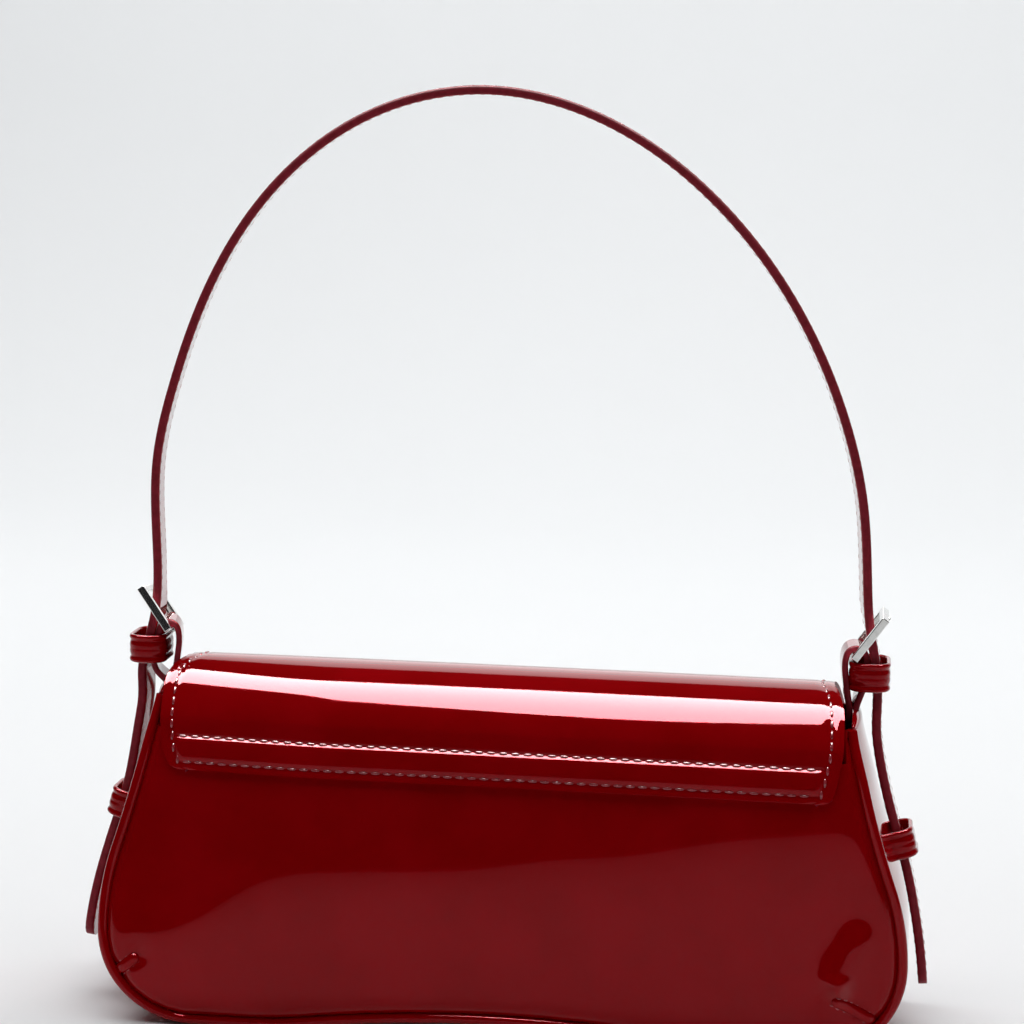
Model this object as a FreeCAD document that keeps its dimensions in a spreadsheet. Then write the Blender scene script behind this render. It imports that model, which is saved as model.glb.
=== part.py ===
import FreeCAD, Part
import math
import os
import Sketcher
from FreeCAD import Placement, Rotation, Vector

# X runs along the bag, Y from its back to its front, Z up from the surface it stands on.
SIZES = {
    # outline of the back and front, seen square on
    "bag_half_width": 134.5,
    "corner_radius": 32.0,
    "seat_length": 18.5,
    "lobe_span": 22.0,
    "arch_angle": 7.5,
    "hip_radius": 83.0,
    "hip_angle": 19.0,
    "waist_radius": 333.0,
    "gusset_top": 107.0,
    # side view: each panel is an arc that is fullest at one height
    "belly_height": 29.0,
    "belly_radius": 270.0,
    "back_depth": 38.0,
    "front_depth": 35.0,
    # layers of the bag, from outside to inside
    "leather": 1.8,
    "piping_radius": 1.6,
    "gusset_bulge": 1.6,
    "board_thickness": 1.2,
    "lining_thickness": 0.8,
    "panel_drop": 9.0,
    "lining_drop": 0.5,
    "seam_gap": 0.05,
    # flap
    "flap_leather": 1.4,
    "flap_lining_thickness": 0.8,
    "flap_rise": 21.5,
    "flap_side_gap": 2.1,
    "flap_flare": 4.0,
    "flap_taper": 5.0,
    "flap_drop": 81.5,
    "flap_corner": 22.0,
    "seam_drop": 1.0,
    "flare_rise": 5.0,
    "tail_height": 11.5,
    "tail_taper": 4.5,
    # closure
    "socket_radius": 7.5,
    "socket_height": 1.2,
    "stud_radius": 6.0,
    "stud_height": 1.3,
    "snap_rise": 16.0,
    # handle and its tails
    "pivot_lift": 3.0,
    "swing_angle": 40.0,
    "strap_half_width": 7.0,
    "strap_ply": 1.25,
    "strap_stand": 4.4,
    "arch_lift": 20.7,
    "arch_rise": 154.75,
    "arch_left_tuck": 0.9,
    "arch_right_tuck": 2.9,
    "handle_lean": 8.5,
    "tail_drop": 90.5,
    "hole_radius": 1.3,
    "hole_pitch": 18.0,
    # tabs, buckles and keepers
    "tab_leather": 1.6,
    "tab_half_width": 6.5,
    "tab_play": 0.8,
    "tab_loop_out": 1.6,
    "tab_loop_rise": 17.0,
    "tab_loop_radius": 3.4,
    "bar_radius": 1.2,
    "frame_pitch": 14.6,
    "frame_lean": 35.5,
    "frame_corner": 2.0,
    "rail_width": 2.2,
    "prong_radius": 0.9,
    "prong_eye_wall": 1.05,
    "prong_eye_half": 1.3,
    "keeper_wall": 1.6,
    "keeper_leg_gap": 0.7,
    "keeper_room": 0.2,
    "keeper_corner": 3.2,
    "keeper_length": 9.4,
    "keeper_drop": 0.65,
    "low_keeper_drop": 42.0,
    "low_keeper_room": 1.7,
    "side_gap": 0.4,
    "swing_gap": 0.3,
    "running_gap": 0.05,
}

# Heights and widths that follow from other sizes, so that pieces that meet move together.
TIED_HEIGHTS = {
    "panel_top": "gusset_top - panel_drop",
    "lining_top": "panel_top - lining_drop",
    "flap_height": "panel_top + flap_rise",
    "flap_seam": "panel_top - seam_drop",
    "flap_wide_height": "flap_seam + flare_rise",
    "flap_bottom": "flap_height - flap_drop",
    "tail_bottom": "flap_seam - tail_height",
    "snap_height": "flap_bottom + snap_rise",
    "snap_lean": "asin((snap_height - belly_height) / belly_radius)",
    "pivot_height": "gusset_top + pivot_lift",
    "tail_tip": "pivot_height - tail_drop",
    "low_keeper_height": "pivot_height - low_keeper_drop",
    "tab_loop_height": "pivot_height + tab_loop_rise",
    "heel_height": "tab_loop_height + tab_loop_radius - tab_leather / 2 - bar_radius - running_gap",
    "keeper_top": "heel_height - 1.42 * bar_radius - keeper_drop",
}
TIED_WIDTHS = {
    "strap_root": "ear_out + strap_stand",
    "tab_root": "ear_out - leather - 1.5 * tab_leather - 5 * running_gap - tab_play",
    "heel_out": "tab_root + tab_loop_out",
    "flap_roof_half": "heel_out - tab_loop_radius - tab_leather / 2 - flap_side_gap",
    "flap_wide_half": "flap_roof_half + flap_flare",
    "flap_front_half": "flap_roof_half - flap_taper",
    "tail_top_half": "flap_roof_half + flap_flare * 0.75",
    "tail_bottom_half": "tail_top_half - tail_taper",
    "keeper_inner": "tab_root + keeper_leg_gap",
    "keeper_outer": "strap_root + strap_ply + keeper_room + keeper_wall",
    "keeper_half_inside": "strap_half_width + side_gap",
    "frame_half_inside": "strap_half_width + side_gap + 0.15",
    "prong_eye_radius": "bar_radius + running_gap + prong_eye_wall",
    "flap_stack": "flap_leather + flap_lining_thickness + seam_gap",
    "base_shrink": "belly_radius - sqrt(belly_radius * belly_radius - belly_height * belly_height)",
    "board_back": "back_depth - base_shrink - leather - 2 * piping_radius",
    "board_front": "front_depth - base_shrink - leather - 2 * piping_radius",
}

doc = FreeCAD.newDocument("baguette_bag")
sheet = doc.addObject("Spreadsheet::Sheet", "sizes")
rows = iter(range(1, 500))


def add_cells(cells, sign=""):
    """Writes named values, or formulas where sign is "=", into the sheet."""
    for alias, value in cells.items():
        row = next(rows)
        sheet.set(f"A{row}", alias)
        sheet.set(f"B{row}", f"{sign}{value}")
        sheet.setAlias(f"B{row}", alias)
    doc.recompute()


def size(alias):
    """One value of the sheet, in millimetres or degrees."""
    return float(sheet.get(alias))


def sheet_value(text):
    """The number that an expression of the sheet has now."""
    return float(sheet.evalExpression(text.replace("@", "sizes.")))


def bind(thing, **expressions):
    """Ties properties of an object to expressions of the sheet, whose names begin with @."""
    for name, text in expressions.items():
        thing.setExpression(name, text.replace("@", "sizes."))


def bind_base(thing, **expressions):
    """Ties the place of an object to expressions of the sheet."""
    bind(thing, **{f"Placement.Base.{axis}": text for axis, text in expressions.items()})


def added(kind, label):
    """A new object of the document with its node name."""
    thing = doc.addObject(kind, label)
    thing.Label = label
    return thing


def shaped(label, shape):
    """An object for a curved sheet whose shape is drawn below from the sheet's sizes."""
    thing = added("Part::Feature", label)
    thing.Shape = shape
    return thing


def boolean(kind, label, base, tool):
    """A cut, fuse or common of two objects."""
    thing = added(kind, label)
    thing.Base = base
    thing.Tool = tool
    return thing


class Pen:
    """Draws lines and arcs, each tangent to the last, in a plane that is given by a function."""

    def __init__(self, place, u, v, heading):
        self.place = place
        self.u = u
        self.v = v
        self.heading = math.radians(heading)
        self.edges = []

    def line(self, length):
        start = self.place(self.u, self.v)
        self.u += length * math.cos(self.heading)
        self.v += length * math.sin(self.heading)
        self.edges.append(Part.makeLine(start, self.place(self.u, self.v)))

    def turn(self, radius, degrees):
        """An arc to the left, or to the right where degrees are negative."""
        side = math.copysign(1.0, degrees)
        cu = self.u - side * radius * math.sin(self.heading)
        cv = self.v + side * radius * math.cos(self.heading)
        points = [self.place(self.u, self.v)]
        for share in (0.5, 1.0):
            h = self.heading + share * math.radians(degrees)
            self.u = cu + side * radius * math.sin(h)
            self.v = cv - side * radius * math.cos(h)
            points.append(self.place(self.u, self.v))
        self.heading += math.radians(degrees)
        self.edges.append(Part.Arc(*points).toShape())


def in_xz(u, v):
    return Vector(u, 0, v)


def in_yz(u, v):
    return Vector(0, u, v)


def mirrored(shape):
    """The same shape on the other side of the YZ plane."""
    return shape.mirror(Vector(0, 0, 0), Vector(1, 0, 0))


def face_of(edges):
    """Face inside a closed loop of edges."""
    return Part.Face(Part.Wire(Part.__sortEdges__(edges)))


def across(face, half):
    """A solid made from a face in the XZ plane, as far to both sides of it."""
    face = face.copy()
    face.translate(Vector(0, -half, 0))
    return face.extrude(Vector(0, 2 * half, 0))


add_cells(SIZES)
add_cells(TIED_HEIGHTS, "=")


def outline(inset, stop):
    """Right half of the bag's outline, moved inwards by inset, from the middle of the bottom.

    stop is a height on the flared side, or the words "seat" or "corner".
    """
    angle = size("arch_angle")
    rad = math.radians(angle)
    lobe = size("lobe_span")
    hollow = size("bag_half_width") - size("corner_radius") - size("seat_length") - lobe
    pen = Pen(in_xz, 0.0, (hollow + lobe) * math.tan(rad / 2) + inset, 0.0)
    pen.turn(hollow / math.sin(rad) + inset, -angle)
    pen.turn(lobe / math.sin(rad) - inset, angle)
    pen.line(size("seat_length"))
    if stop == "seat":
        return pen
    pen.turn(size("corner_radius") - inset, 90)
    if stop in ("corner", size("corner_radius")):
        return pen
    hip = size("hip_radius") - inset
    hip_turn = math.degrees(math.asin(min((stop - pen.v) / hip, 1.0)))
    pen.turn(hip, min(hip_turn, size("hip_angle")))
    if hip_turn <= size("hip_angle"):
        return pen
    waist = size("waist_radius") + inset
    last = math.acos(math.cos(pen.heading) + (stop - pen.v) / waist)
    pen.turn(waist, -math.degrees(pen.heading - last))
    return pen


def side_x(height, inset=0.0):
    """Distance of the flared side from the middle at one height."""
    return outline(inset, height).u


def bulge_at(height):
    """How far the middle of the gusset stands out at one height."""
    foot = size("corner_radius")
    full = foot + 0.45 * (size("gusset_top") - foot)
    share = min((height - foot) / (full - foot), 1.0)
    return size("gusset_bulge") * math.sin(share * math.pi / 2) ** 2


add_cells({"ear_out": round(side_x(size("gusset_top")) + size("gusset_bulge"), 4)})
add_cells(TIED_WIDTHS, "=")


def both_halves(inset, stop):
    """Edges of an outline on both sides of the middle."""
    right = outline(inset, stop).edges
    return right + [mirrored(edge) for edge in right]


def closed_face(inset, top):
    """Face inside an outline, closed by a straight top edge."""
    pen = outline(inset, top)
    lid = Part.makeLine(Vector(pen.u, 0, pen.v), Vector(-pen.u, 0, pen.v))
    return face_of(both_halves(inset, top) + [lid])


def band_face(outer, inner, stop):
    """Face between two outlines with different insets."""
    near = outline(outer, stop)
    far = outline(inner, stop)
    ends = []
    for side in (1, -1):
        ends.append(Part.makeLine(Vector(side * near.u, 0, near.v), Vector(side * far.u, 0, far.v)))
    return face_of(both_halves(outer, stop) + both_halves(inner, stop) + ends)


def extruded(label, face, length, start):
    """A plate made from a face in the XZ plane, running along Y."""
    plate = added("Part::Extrusion", label)
    plate.Base = shaped(label + "_face", face)
    plate.DirMode = "Custom"
    plate.Dir = Vector(0, 1, 0)
    plate.Solid = True
    bind(plate, LengthFwd=length)
    bind_base(plate, y=start)
    return plate


# Panels, piping, gusset, base board and lining
BACK, FRONT = -1, 1
seam_gap = size("seam_gap")
far_out = 2 * size("bag_half_width")
panel_inset = 2 * size("piping_radius") + seam_gap
lining_inset = size("leather") + size("board_thickness") + 4 * seam_gap


def axis_y(facing):
    """Where the axis of a panel's arc lies along Y."""
    depth = size("back_depth") if facing == BACK else size("front_depth")
    return facing * (depth - size("belly_radius"))


def depth_at(height, facing, offset=0.0):
    """Y of a panel's outer face, moved outwards by offset, at one height."""
    radius = size("belly_radius") + offset
    return axis_y(facing) + facing * math.sqrt(radius**2 - (height - size("belly_height")) ** 2)


def barrel(facing, offset):
    """A round block along X whose side is a panel's outer face, moved outwards by offset."""
    foot = Vector(-far_out, axis_y(facing), size("belly_height"))
    return Part.makeCylinder(size("belly_radius") + offset, 2 * far_out, foot, Vector(1, 0, 0))


def between_barrels(face, offset):
    """What both panels leave of a face in the XZ plane that runs through the bag along Y."""
    return across(face, far_out).common(barrel(BACK, offset)).common(barrel(FRONT, offset))


def barrel_object(label, facing, offset):
    """The same round block, as an object that is tied to the sheet."""
    depth, sign = ("@back_depth", "-") if facing == BACK else ("@front_depth", "")
    round_block = added("Part::Cylinder", label)
    bind(round_block, Radius=f"@belly_radius + {offset}", Height="4 * @bag_half_width")
    round_block.Placement = Placement(Vector(0, 0, 0), Rotation(Vector(0, 1, 0), 90))
    bind_base(round_block, x="-2 * @bag_half_width", y=f"{sign}({depth} - @belly_radius)", z="@belly_height")
    return round_block


def curved_sheet(label, block, facing, offset, thickness):
    """What a block keeps between a panel's face, moved outwards by offset, and a thickness more."""
    outer = barrel_object(label + "_outer", facing, f"{offset} + {thickness}")
    inner = barrel_object(label + "_inner", facing, offset)
    boolean("Part::Cut", label, boolean("Part::Common", label + "_full", block, outer), inner)


def panel(label, facing):
    """The back or the front of the bag."""
    depth = "@back_depth" if facing == BACK else "@front_depth"
    start = f"-{depth}" if facing == BACK else "0"
    block = extruded(label + "_block", closed_face(panel_inset, size("panel_top")), depth, start)
    curved_sheet(label, block, facing, "-@leather", "@leather")


panel("back_panel", BACK)
panel("front_panel", FRONT)


def bead_section(spot, way, facing):
    """A six-sided section of the piping, square to its run, at a place and direction of the outline."""
    radius = size("piping_radius")
    y = depth_at(spot.z, facing, seam_gap - radius)
    slope = (size("belly_height") - spot.z) / (y - axis_y(facing))
    ahead = Vector(way.x, slope * way.z, way.z).normalize()
    outward = Vector(way.z, 0, -way.x)
    aside = ahead.cross(outward)
    corners = []
    for k in range(6):
        turn = math.radians(30 + 60 * k)
        corner = outward * math.cos(turn) + aside * math.sin(turn)
        corners.append(Vector(spot.x, y, spot.z) + corner * radius)
    return Part.makePolygon(corners + corners[:1])


def piping(label, facing):
    """A bead that follows the curved edge of a panel."""
    edges = outline(size("piping_radius"), size("gusset_top")).edges
    sections = []
    for edge in edges:
        count = 1 + int(edge.Length / (4 * size("piping_radius")))
        span = edge.LastParameter - edge.FirstParameter
        for k in range(count + (edge is edges[-1])):
            at = edge.FirstParameter + span * k / count
            sections.append(bead_section(edge.valueAt(at), edge.tangentAt(at), facing))
    half = Part.makeLoft(sections, True, False)
    shaped(label, half.fuse(mirrored(half)).removeSplitter())


piping("back_piping", BACK)
piping("front_piping", FRONT)


def bowed(start, end, bow):
    """A line between two points whose middle stands out along X by bow."""
    if bow == 0:
        return Part.makeLine(start, end)
    middle = (start + end) * 0.5 + Vector(bow, 0, 0)
    return Part.Arc(start, middle, end).toShape()


gusset_offset = -2 * size("piping_radius")


def side_section(height, outer, inner):
    """Cross section of the right side between two distances from the outline."""
    bow = bulge_at(height)
    corners = []
    edges = []
    for inset in (outer, inner):
        x = side_x(height, 0.0) - inset
        ends = [Vector(x, depth_at(height, facing, gusset_offset), height) for facing in (BACK, FRONT)]
        edges.append(bowed(ends[0], ends[1], bow))
        corners.append(ends)
    for k in (0, 1):
        edges.append(Part.makeLine(corners[0][k], corners[1][k]))
    return Part.Wire(Part.__sortEdges__(edges))


def side_wall(outer, inner):
    """The bowed side of the bag, from above its round corner to the gusset's top."""
    foot = size("corner_radius")
    rise = size("gusset_top") - foot
    shares = (0.0, 0.15, 0.4, 0.7, 1.0)
    return Part.makeLoft([side_section(foot + s * rise, outer, inner) for s in shares], True, False)


right_wall = side_wall(0.0, size("leather"))
gusset_floor = between_barrels(band_face(0.0, size("leather"), "corner"), gusset_offset)
shaped("gusset", gusset_floor.fuse([right_wall, mirrored(right_wall)]).removeSplitter())

board_face = band_face(size("leather") + seam_gap, size("leather") + size("board_thickness"), "seat")
extruded("base_board", board_face, "@board_back + @board_front", "-@board_back")

lining_offset = -size("leather") - seam_gap
lining_block = between_barrels(closed_face(lining_inset, size("lining_top")), lining_offset)
hollow_face = closed_face(lining_inset + size("lining_thickness"), size("lining_top"))
hollow = between_barrels(hollow_face, lining_offset - size("lining_thickness"))
shaped("lining", lining_block.cut(hollow))

# Flap: one sheet in two layers, from its seam on the back over the round top and down the front
snap_room = size("socket_height") + size("stud_height") + 5 * seam_gap


def flap_path(inset):
    """Side view of the flap, moved inwards by inset; it begins a little below its seam."""
    low, stack = size("belly_height"), size("flap_stack")
    back = size("belly_radius") + stack + 3 * seam_gap
    seam = math.asin((size("flap_seam") - low) / back)
    start = seam - 2 * stack / back
    begin_y = axis_y(BACK) - (back - inset) * math.cos(start)
    pen = Pen(in_yz, begin_y, low + (back - inset) * math.sin(start), 90 - math.degrees(start))
    first = pen.place(pen.u, pen.v)
    pen.turn(back - inset, math.degrees(start - seam))
    round_top = (size("flap_height") - size("flap_seam")) / (1 - math.sin(seam))
    pen.turn(round_top - inset, math.degrees(seam) - 90)
    front = size("belly_radius") + snap_room + stack
    along, rise = pen.u - axis_y(FRONT), size("flap_height") - low
    brow = (along**2 + rise**2 - front**2) / (2 * (rise - front))
    meet = math.atan2(rise - brow, along)
    pen.turn(brow - inset, math.degrees(meet) - 90)
    pen.turn(front - inset, math.degrees(math.asin((size("flap_bottom") - low) / front) - meet))
    return pen.edges, first, pen.place(pen.u, pen.v)


def flap_plan():
    """Block with the flap's outline seen square on, to trim its layers."""
    low, high = size("flap_bottom"), size("flap_height")
    right = [
        Vector(size("flap_front_half"), 0, low),
        Vector(size("flap_wide_half"), 0, size("flap_wide_height")),
        Vector(size("flap_roof_half"), 0, high - size("flap_leather")),
        Vector(size("flap_roof_half"), 0, high + size("flap_rise")),
    ]
    left = [Vector(-p.x, 0, p.z) for p in reversed(right)]
    block = across(Part.Face(Part.makePolygon(right + left + right[:1])), 2 * size("back_depth"))
    corners = [e for e in block.Edges if abs(e.CenterOfMass.z - low) < 0.01 and abs(e.CenterOfMass.x) > 1]
    block = block.makeFillet(size("flap_corner"), corners)
    below = Vector(-far_out, -far_out, size("flap_seam") - far_out)
    return block.cut(Part.makeBox(2 * far_out, far_out, far_out, below))


def flap_layer(label, outer, inner):
    """One layer of the flap."""
    near, near_start, near_stop = flap_path(outer)
    far, far_start, far_stop = flap_path(inner)
    ends = [Part.makeLine(near_start, far_start), Part.makeLine(near_stop, far_stop)]
    face = face_of(near + far + ends)
    reach = size("flap_wide_half") + size("flap_flare")
    face.translate(Vector(-reach, 0, 0))
    folded = shaped(label + "_sheet", face.extrude(Vector(2 * reach, 0, 0)))
    boolean("Part::Common", label, folded, shaped(label + "_plan", flap_plan()))


flap_layer("flap_shell", 0.0, size("flap_leather"))
flap_layer("flap_lining", size("flap_leather") + seam_gap, size("flap_stack"))


def new_sketch(body, role):
    """A sketch on one of the planes of its own body."""
    sketch = body.newObject("Sketcher::SketchObject", body.Name + "_sketch")
    plane = [f for f in body.Origin.OriginFeatures if f.Role == role][0]
    sketch.AttachmentSupport = [(plane, "")]
    sketch.MapMode = "FlatFace"
    return sketch


def draw_polygon(sketch, corners):
    """A closed polygon whose corners are pairs of expressions of the sheet."""
    count = len(corners)
    first = sketch.GeometryCount
    values = [[sheet_value(text) for text in pair] for pair in corners]
    spots = [Vector(x, y, 0) for x, y in values]
    for k in range(count):
        sketch.addGeometry(Part.LineSegment(spots[k], spots[(k + 1) % count]), False)
    for k in range(count):
        sketch.addConstraint(Sketcher.Constraint("Coincident", first + k, 2, first + (k + 1) % count, 1))
    for k in range(count):
        for kind, text, value in zip(("DistanceX", "DistanceY"), corners[k], values[k]):
            number = sketch.addConstraint(Sketcher.Constraint(kind, -1, 1, first + k, 1, value))
            sketch.setExpression(f"Constraints[{number}]", text.replace("@", "sizes."))


def padded_body(label, role, loops, length):
    """A body made of closed polygons that are padded to both sides of their plane."""
    body = added("PartDesign::Body", label)
    sketch = new_sketch(body, role)
    for loop in loops:
        draw_polygon(sketch, loop)
    pad = body.newObject("PartDesign::Pad", label + "_pad")
    pad.Profile = sketch
    pad.Midplane = True
    bind(pad, Length=length)
    return body


def rounded(body, radius, chosen):
    """Rounds those edges of a body's last feature that a test picks by their middle and direction."""
    doc.recompute()
    last = body.Tip
    names = []
    for number, edge in enumerate(last.Shape.Edges, start=1):
        if len(edge.Vertexes) == 2 and chosen(edge.CenterOfMass, edge.tangentAt(edge.FirstParameter)):
            names.append(f"Edge{number}")
    fillet = body.newObject("PartDesign::Fillet", body.Name + f"_round_{len(body.Group)}")
    fillet.Base = (last, names)
    bind(fillet, Radius=radius)
    doc.recompute()
    return body


def revolved_body(label, profile):
    """A round body whose half section is a polygon beside the upright axis."""
    body = added("PartDesign::Body", label)
    sketch = new_sketch(body, "XZ_Plane")
    draw_polygon(sketch, profile)
    turned = body.newObject("PartDesign::Revolution", label + "_turned")
    turned.Profile = sketch
    turned.ReferenceAxis = (sketch, ["V_Axis"])
    turned.Angle = 360
    return body


# Tail of the flap, sewn to the back panel
tail_loop = [
    ("-@tail_bottom_half", "@tail_bottom"),
    ("@tail_bottom_half", "@tail_bottom"),
    ("@tail_top_half", "@flap_seam - @seam_gap"),
    ("-@tail_top_half", "@flap_seam - @seam_gap"),
]
tail_block = padded_body("flap_tail_block", "XZ_Plane", [tail_loop], "2 * @back_depth")
bind_base(tail_block, y="-@back_depth")
curved_sheet("flap_tail", tail_block, BACK, "@seam_gap", "@flap_stack")


def facing_front(lean):
    """Turn that points an upright axis to the front, raised by lean degrees."""
    return Rotation(Vector(1, 0, 0), lean - 90)


def snap_half(label, radius, height, stand):
    """One half of the snap: a disc with a bevelled rim on the curved front panel."""
    rim = f"{height} / 2"
    profile = [("0", "0"), (radius, "0"), (radius, rim), (f"{radius} - {rim}", height), ("0", height)]
    body = revolved_body(label, profile)
    body.Placement = Placement(Vector(0, 0, 0), facing_front(size("snap_lean")))
    out = f"(@belly_radius + {stand})"
    bind_base(body, y=f"@front_depth - @belly_radius + {out} * cos(@snap_lean)")
    bind_base(body, z=f"@belly_height + {out} * sin(@snap_lean)")


snap_half("snap_socket", "@socket_radius", "@socket_height", "@seam_gap")
snap_half("snap_stud", "@stud_radius", "@stud_height", "@socket_height + 2 * @seam_gap")


# Strips: the handle strap, its tails and the tabs are flat leather bent in the XZ plane
def left_of(ahead):
    return Vector(-ahead.z, 0, ahead.x)


def directions(points):
    """Direction of a smooth line at each of its points, by the circle through a point and its neighbours."""
    steps = [b - a for a, b in zip(points, points[1:])]
    found = []
    for before, after in zip(steps, steps[1:]):
        mean = before * (after.Length / before.Length) + after * (before.Length / after.Length)
        found.append(mean.normalize())
    ends = []
    for step, near in ((steps[0], found[0]), (steps[-1], found[-1])):
        chord = Vector(step).normalize()
        ends.append(chord * (2 * near.dot(chord)) - near)
    return [ends[0]] + found + [ends[1]]


def arcs_through(points):
    """Tangent arcs through points, two from each to the next, as start, direction and end."""
    heads = directions(points)
    arcs = []
    for start, end, ahead, after in zip(points, points[1:], heads, heads[1:]):
        chord = end - start
        a = 2 * (ahead.dot(after) - 1)
        b = -2 * chord.dot(ahead + after)
        c = chord.dot(chord)
        reach = c / -b if abs(a) < 1e-9 else (-b - math.sqrt(b * b - 4 * a * c)) / (2 * a)
        joint = (start + ahead * reach + end - after * reach) * 0.5
        middle = (end - after * reach - start - ahead * reach).normalize()
        arcs.append((start, ahead, joint, middle))
        arcs.append((joint, middle, end, after))
    return arcs


def beside(arcs, distance):
    """Edges that run beside a chain of arcs, to its left where distance is positive."""
    edges = []
    for start, ahead, end, after in arcs:
        chord = end - start
        bend = 2 * left_of(ahead).dot(chord) / chord.dot(chord)
        first = start + left_of(ahead) * distance
        last = end + left_of(after) * distance
        if abs(bend) * chord.Length < 1e-3:
            edges.append(Part.makeLine(first, last))
            continue
        centre = start + left_of(ahead) * (1 / bend)
        halfway = left_of((ahead + after).normalize())
        edges.append(Part.Arc(first, centre + halfway * (distance - 1 / bend), last).toShape())
    return edges


def strip(points, low, high, half_width):
    """A strip along a smooth line, between two distances from it (positive to its left)."""
    arcs = arcs_through([Vector(x, 0, z) for x, z in points])
    start, ahead, end, after = arcs[0][0], arcs[0][1], arcs[-1][2], arcs[-1][3]
    ends = [
        Part.makeLine(start + left_of(ahead) * low, start + left_of(ahead) * high),
        Part.makeLine(end + left_of(after) * low, end + left_of(after) * high),
    ]
    return across(face_of(beside(arcs, low) + beside(arcs, high) + ends), half_width)


pivot = Vector(0, 0, size("pivot_height"))
heel_x, heel_z = size("heel_out"), size("heel_height")
frame_lean = math.radians(size("frame_lean"))
buckle_x = heel_x + size("frame_pitch") * math.sin(frame_lean) / 2 + size("side_gap")
buckle_z = heel_z + size("frame_pitch") * math.cos(frame_lean) / 2
arch_foot = buckle_z + size("arch_lift")
prong_rise = size("bar_radius") + size("prong_radius") + size("running_gap")
prong_lean = frame_lean + math.asin(prong_rise / (size("frame_pitch") - size("bar_radius")))


def rod_along_x(radius, height):
    """A round bar along X through the whole bag at one height."""
    return Part.makeCylinder(radius, 2 * far_out, Vector(-far_out, 0, height), Vector(1, 0, 0))


def round_end(height, radius):
    """What a strip loses below a height to get a half-round end there."""
    block = Part.makeBox(2 * far_out, far_out, far_out, Vector(-far_out, -far_out / 2, height - far_out))
    return block.cut(rod_along_x(radius, height))


def arch_points(side):
    """Points up one half of the arch, which follows a rounded oval to its top."""
    tuck, power = (size("arch_left_tuck"), 2.12) if side < 0 else (size("arch_right_tuck"), 1.93)
    apex = -size("handle_lean")
    reach = buckle_x - tuck - side * apex
    points = []
    for degrees in (0, 16, 33, 52, 72):
        turn = math.radians(degrees)
        out = reach * math.cos(turn) ** (2 / power)
        up = size("arch_rise") * math.sin(turn) ** (2 / power)
        points.append((apex + side * out, arch_foot + up))
    return points


def strap_run(side):
    """Points from the swing line up through the keeper to the buckle."""
    root, low = size("strap_root"), size("pivot_height")
    return [
        (side * root, low - size("strap_half_width") - 1),
        (side * root, low),
        (side * root, low + 4),
        (side * (root - 0.9), low + 0.42 * (buckle_z - low)),
        (side * buckle_x, buckle_z),
    ]


strap_points = strap_run(1) + arch_points(1) + [(-size("handle_lean"), arch_foot + size("arch_rise"))]
strap_points += list(reversed(strap_run(-1) + arch_points(-1)))


def prong_slot(side):
    """Slot that a prong needs in the strap, long enough for its small swing."""
    margin = size("prong_radius") + size("swing_gap")
    start, end = 2.5 * size("bar_radius"), size("frame_pitch")
    corners = []
    for radius, lean, sign in ((start, -1, -1), (end, -1, -1), (end, 9, 1), (start, 9, 1)):
        angle = prong_lean + math.radians(lean)
        x = heel_x + radius * math.sin(angle) + sign * margin * math.cos(angle)
        z = heel_z + radius * math.cos(angle) - sign * margin * math.sin(angle)
        corners.append(Vector(side * x, 0, z))
    return across(Part.Face(Part.makePolygon(corners + corners[:1])), size("prong_radius") + size("side_gap"))


def strap_layer(label, low, high):
    """One ply of the handle strap, with round ends, the prongs' slots and a spare hole above each."""
    ply = strip(strap_points, low, high, size("strap_half_width"))
    spare = rod_along_x(size("hole_radius"), buckle_z + size("hole_pitch"))
    trim = round_end(size("pivot_height"), size("strap_half_width"))
    shaped(label, ply.cut([trim, prong_slot(1), prong_slot(-1), spare]))


strap_layer("handle_strap_inner", size("seam_gap") / 2, size("strap_ply"))
strap_layer("handle_strap_outer", -size("strap_ply"), -size("seam_gap") / 2)

# Where the tail hangs: share of its drop, and its distance from the gusset there
TAIL_HANG = ((0.13, 2.85), (0.26, 1.7), (0.38, 1.3), (0.57, 0.7), (0.72, 1.5), (0.87, 3.5), (1.0, 4.6))


def tail_points():
    """Points down the right strap tail, from the swing line to its tip."""
    top, drop, ply = size("pivot_height"), size("tail_drop"), size("strap_ply")
    points = [(size("strap_root"), top), (size("strap_root"), top - 0.06 * drop)]
    for share, gap in TAIL_HANG:
        z = top - share * drop
        level = max(z, size("corner_radius"))
        points.append((side_x(level) + bulge_at(level) + gap + ply, z))
    return points


def strap_tail(label, side):
    """The fixed end of the strap, hollowed at its top for the handle's swing and rounded at its tip."""
    half, ply = size("strap_half_width"), size("strap_ply")
    room = half + size("swing_gap")
    cuts = [rod_along_x(room, size("pivot_height")), round_end(size("tail_tip") + half, half)]
    for sign in (1, -1):
        sweep = Part.makeBox(2 * far_out, 2 * room, far_out, Vector(-far_out, -room, size("pivot_height")))
        sweep.rotate(pivot, Vector(1, 0, 0), sign * (size("swing_angle") + 1))
        cuts.append(sweep)
    for number in (1, 2):
        cuts.append(rod_along_x(size("hole_radius"), buckle_z - (number + 1) * size("hole_pitch")))
    tail = strip(tail_points(), -ply, ply, half).cut(cuts)
    tail = max(tail.Solids, key=lambda solid: solid.Volume)
    shaped(label, tail if side > 0 else mirrored(tail))


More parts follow.
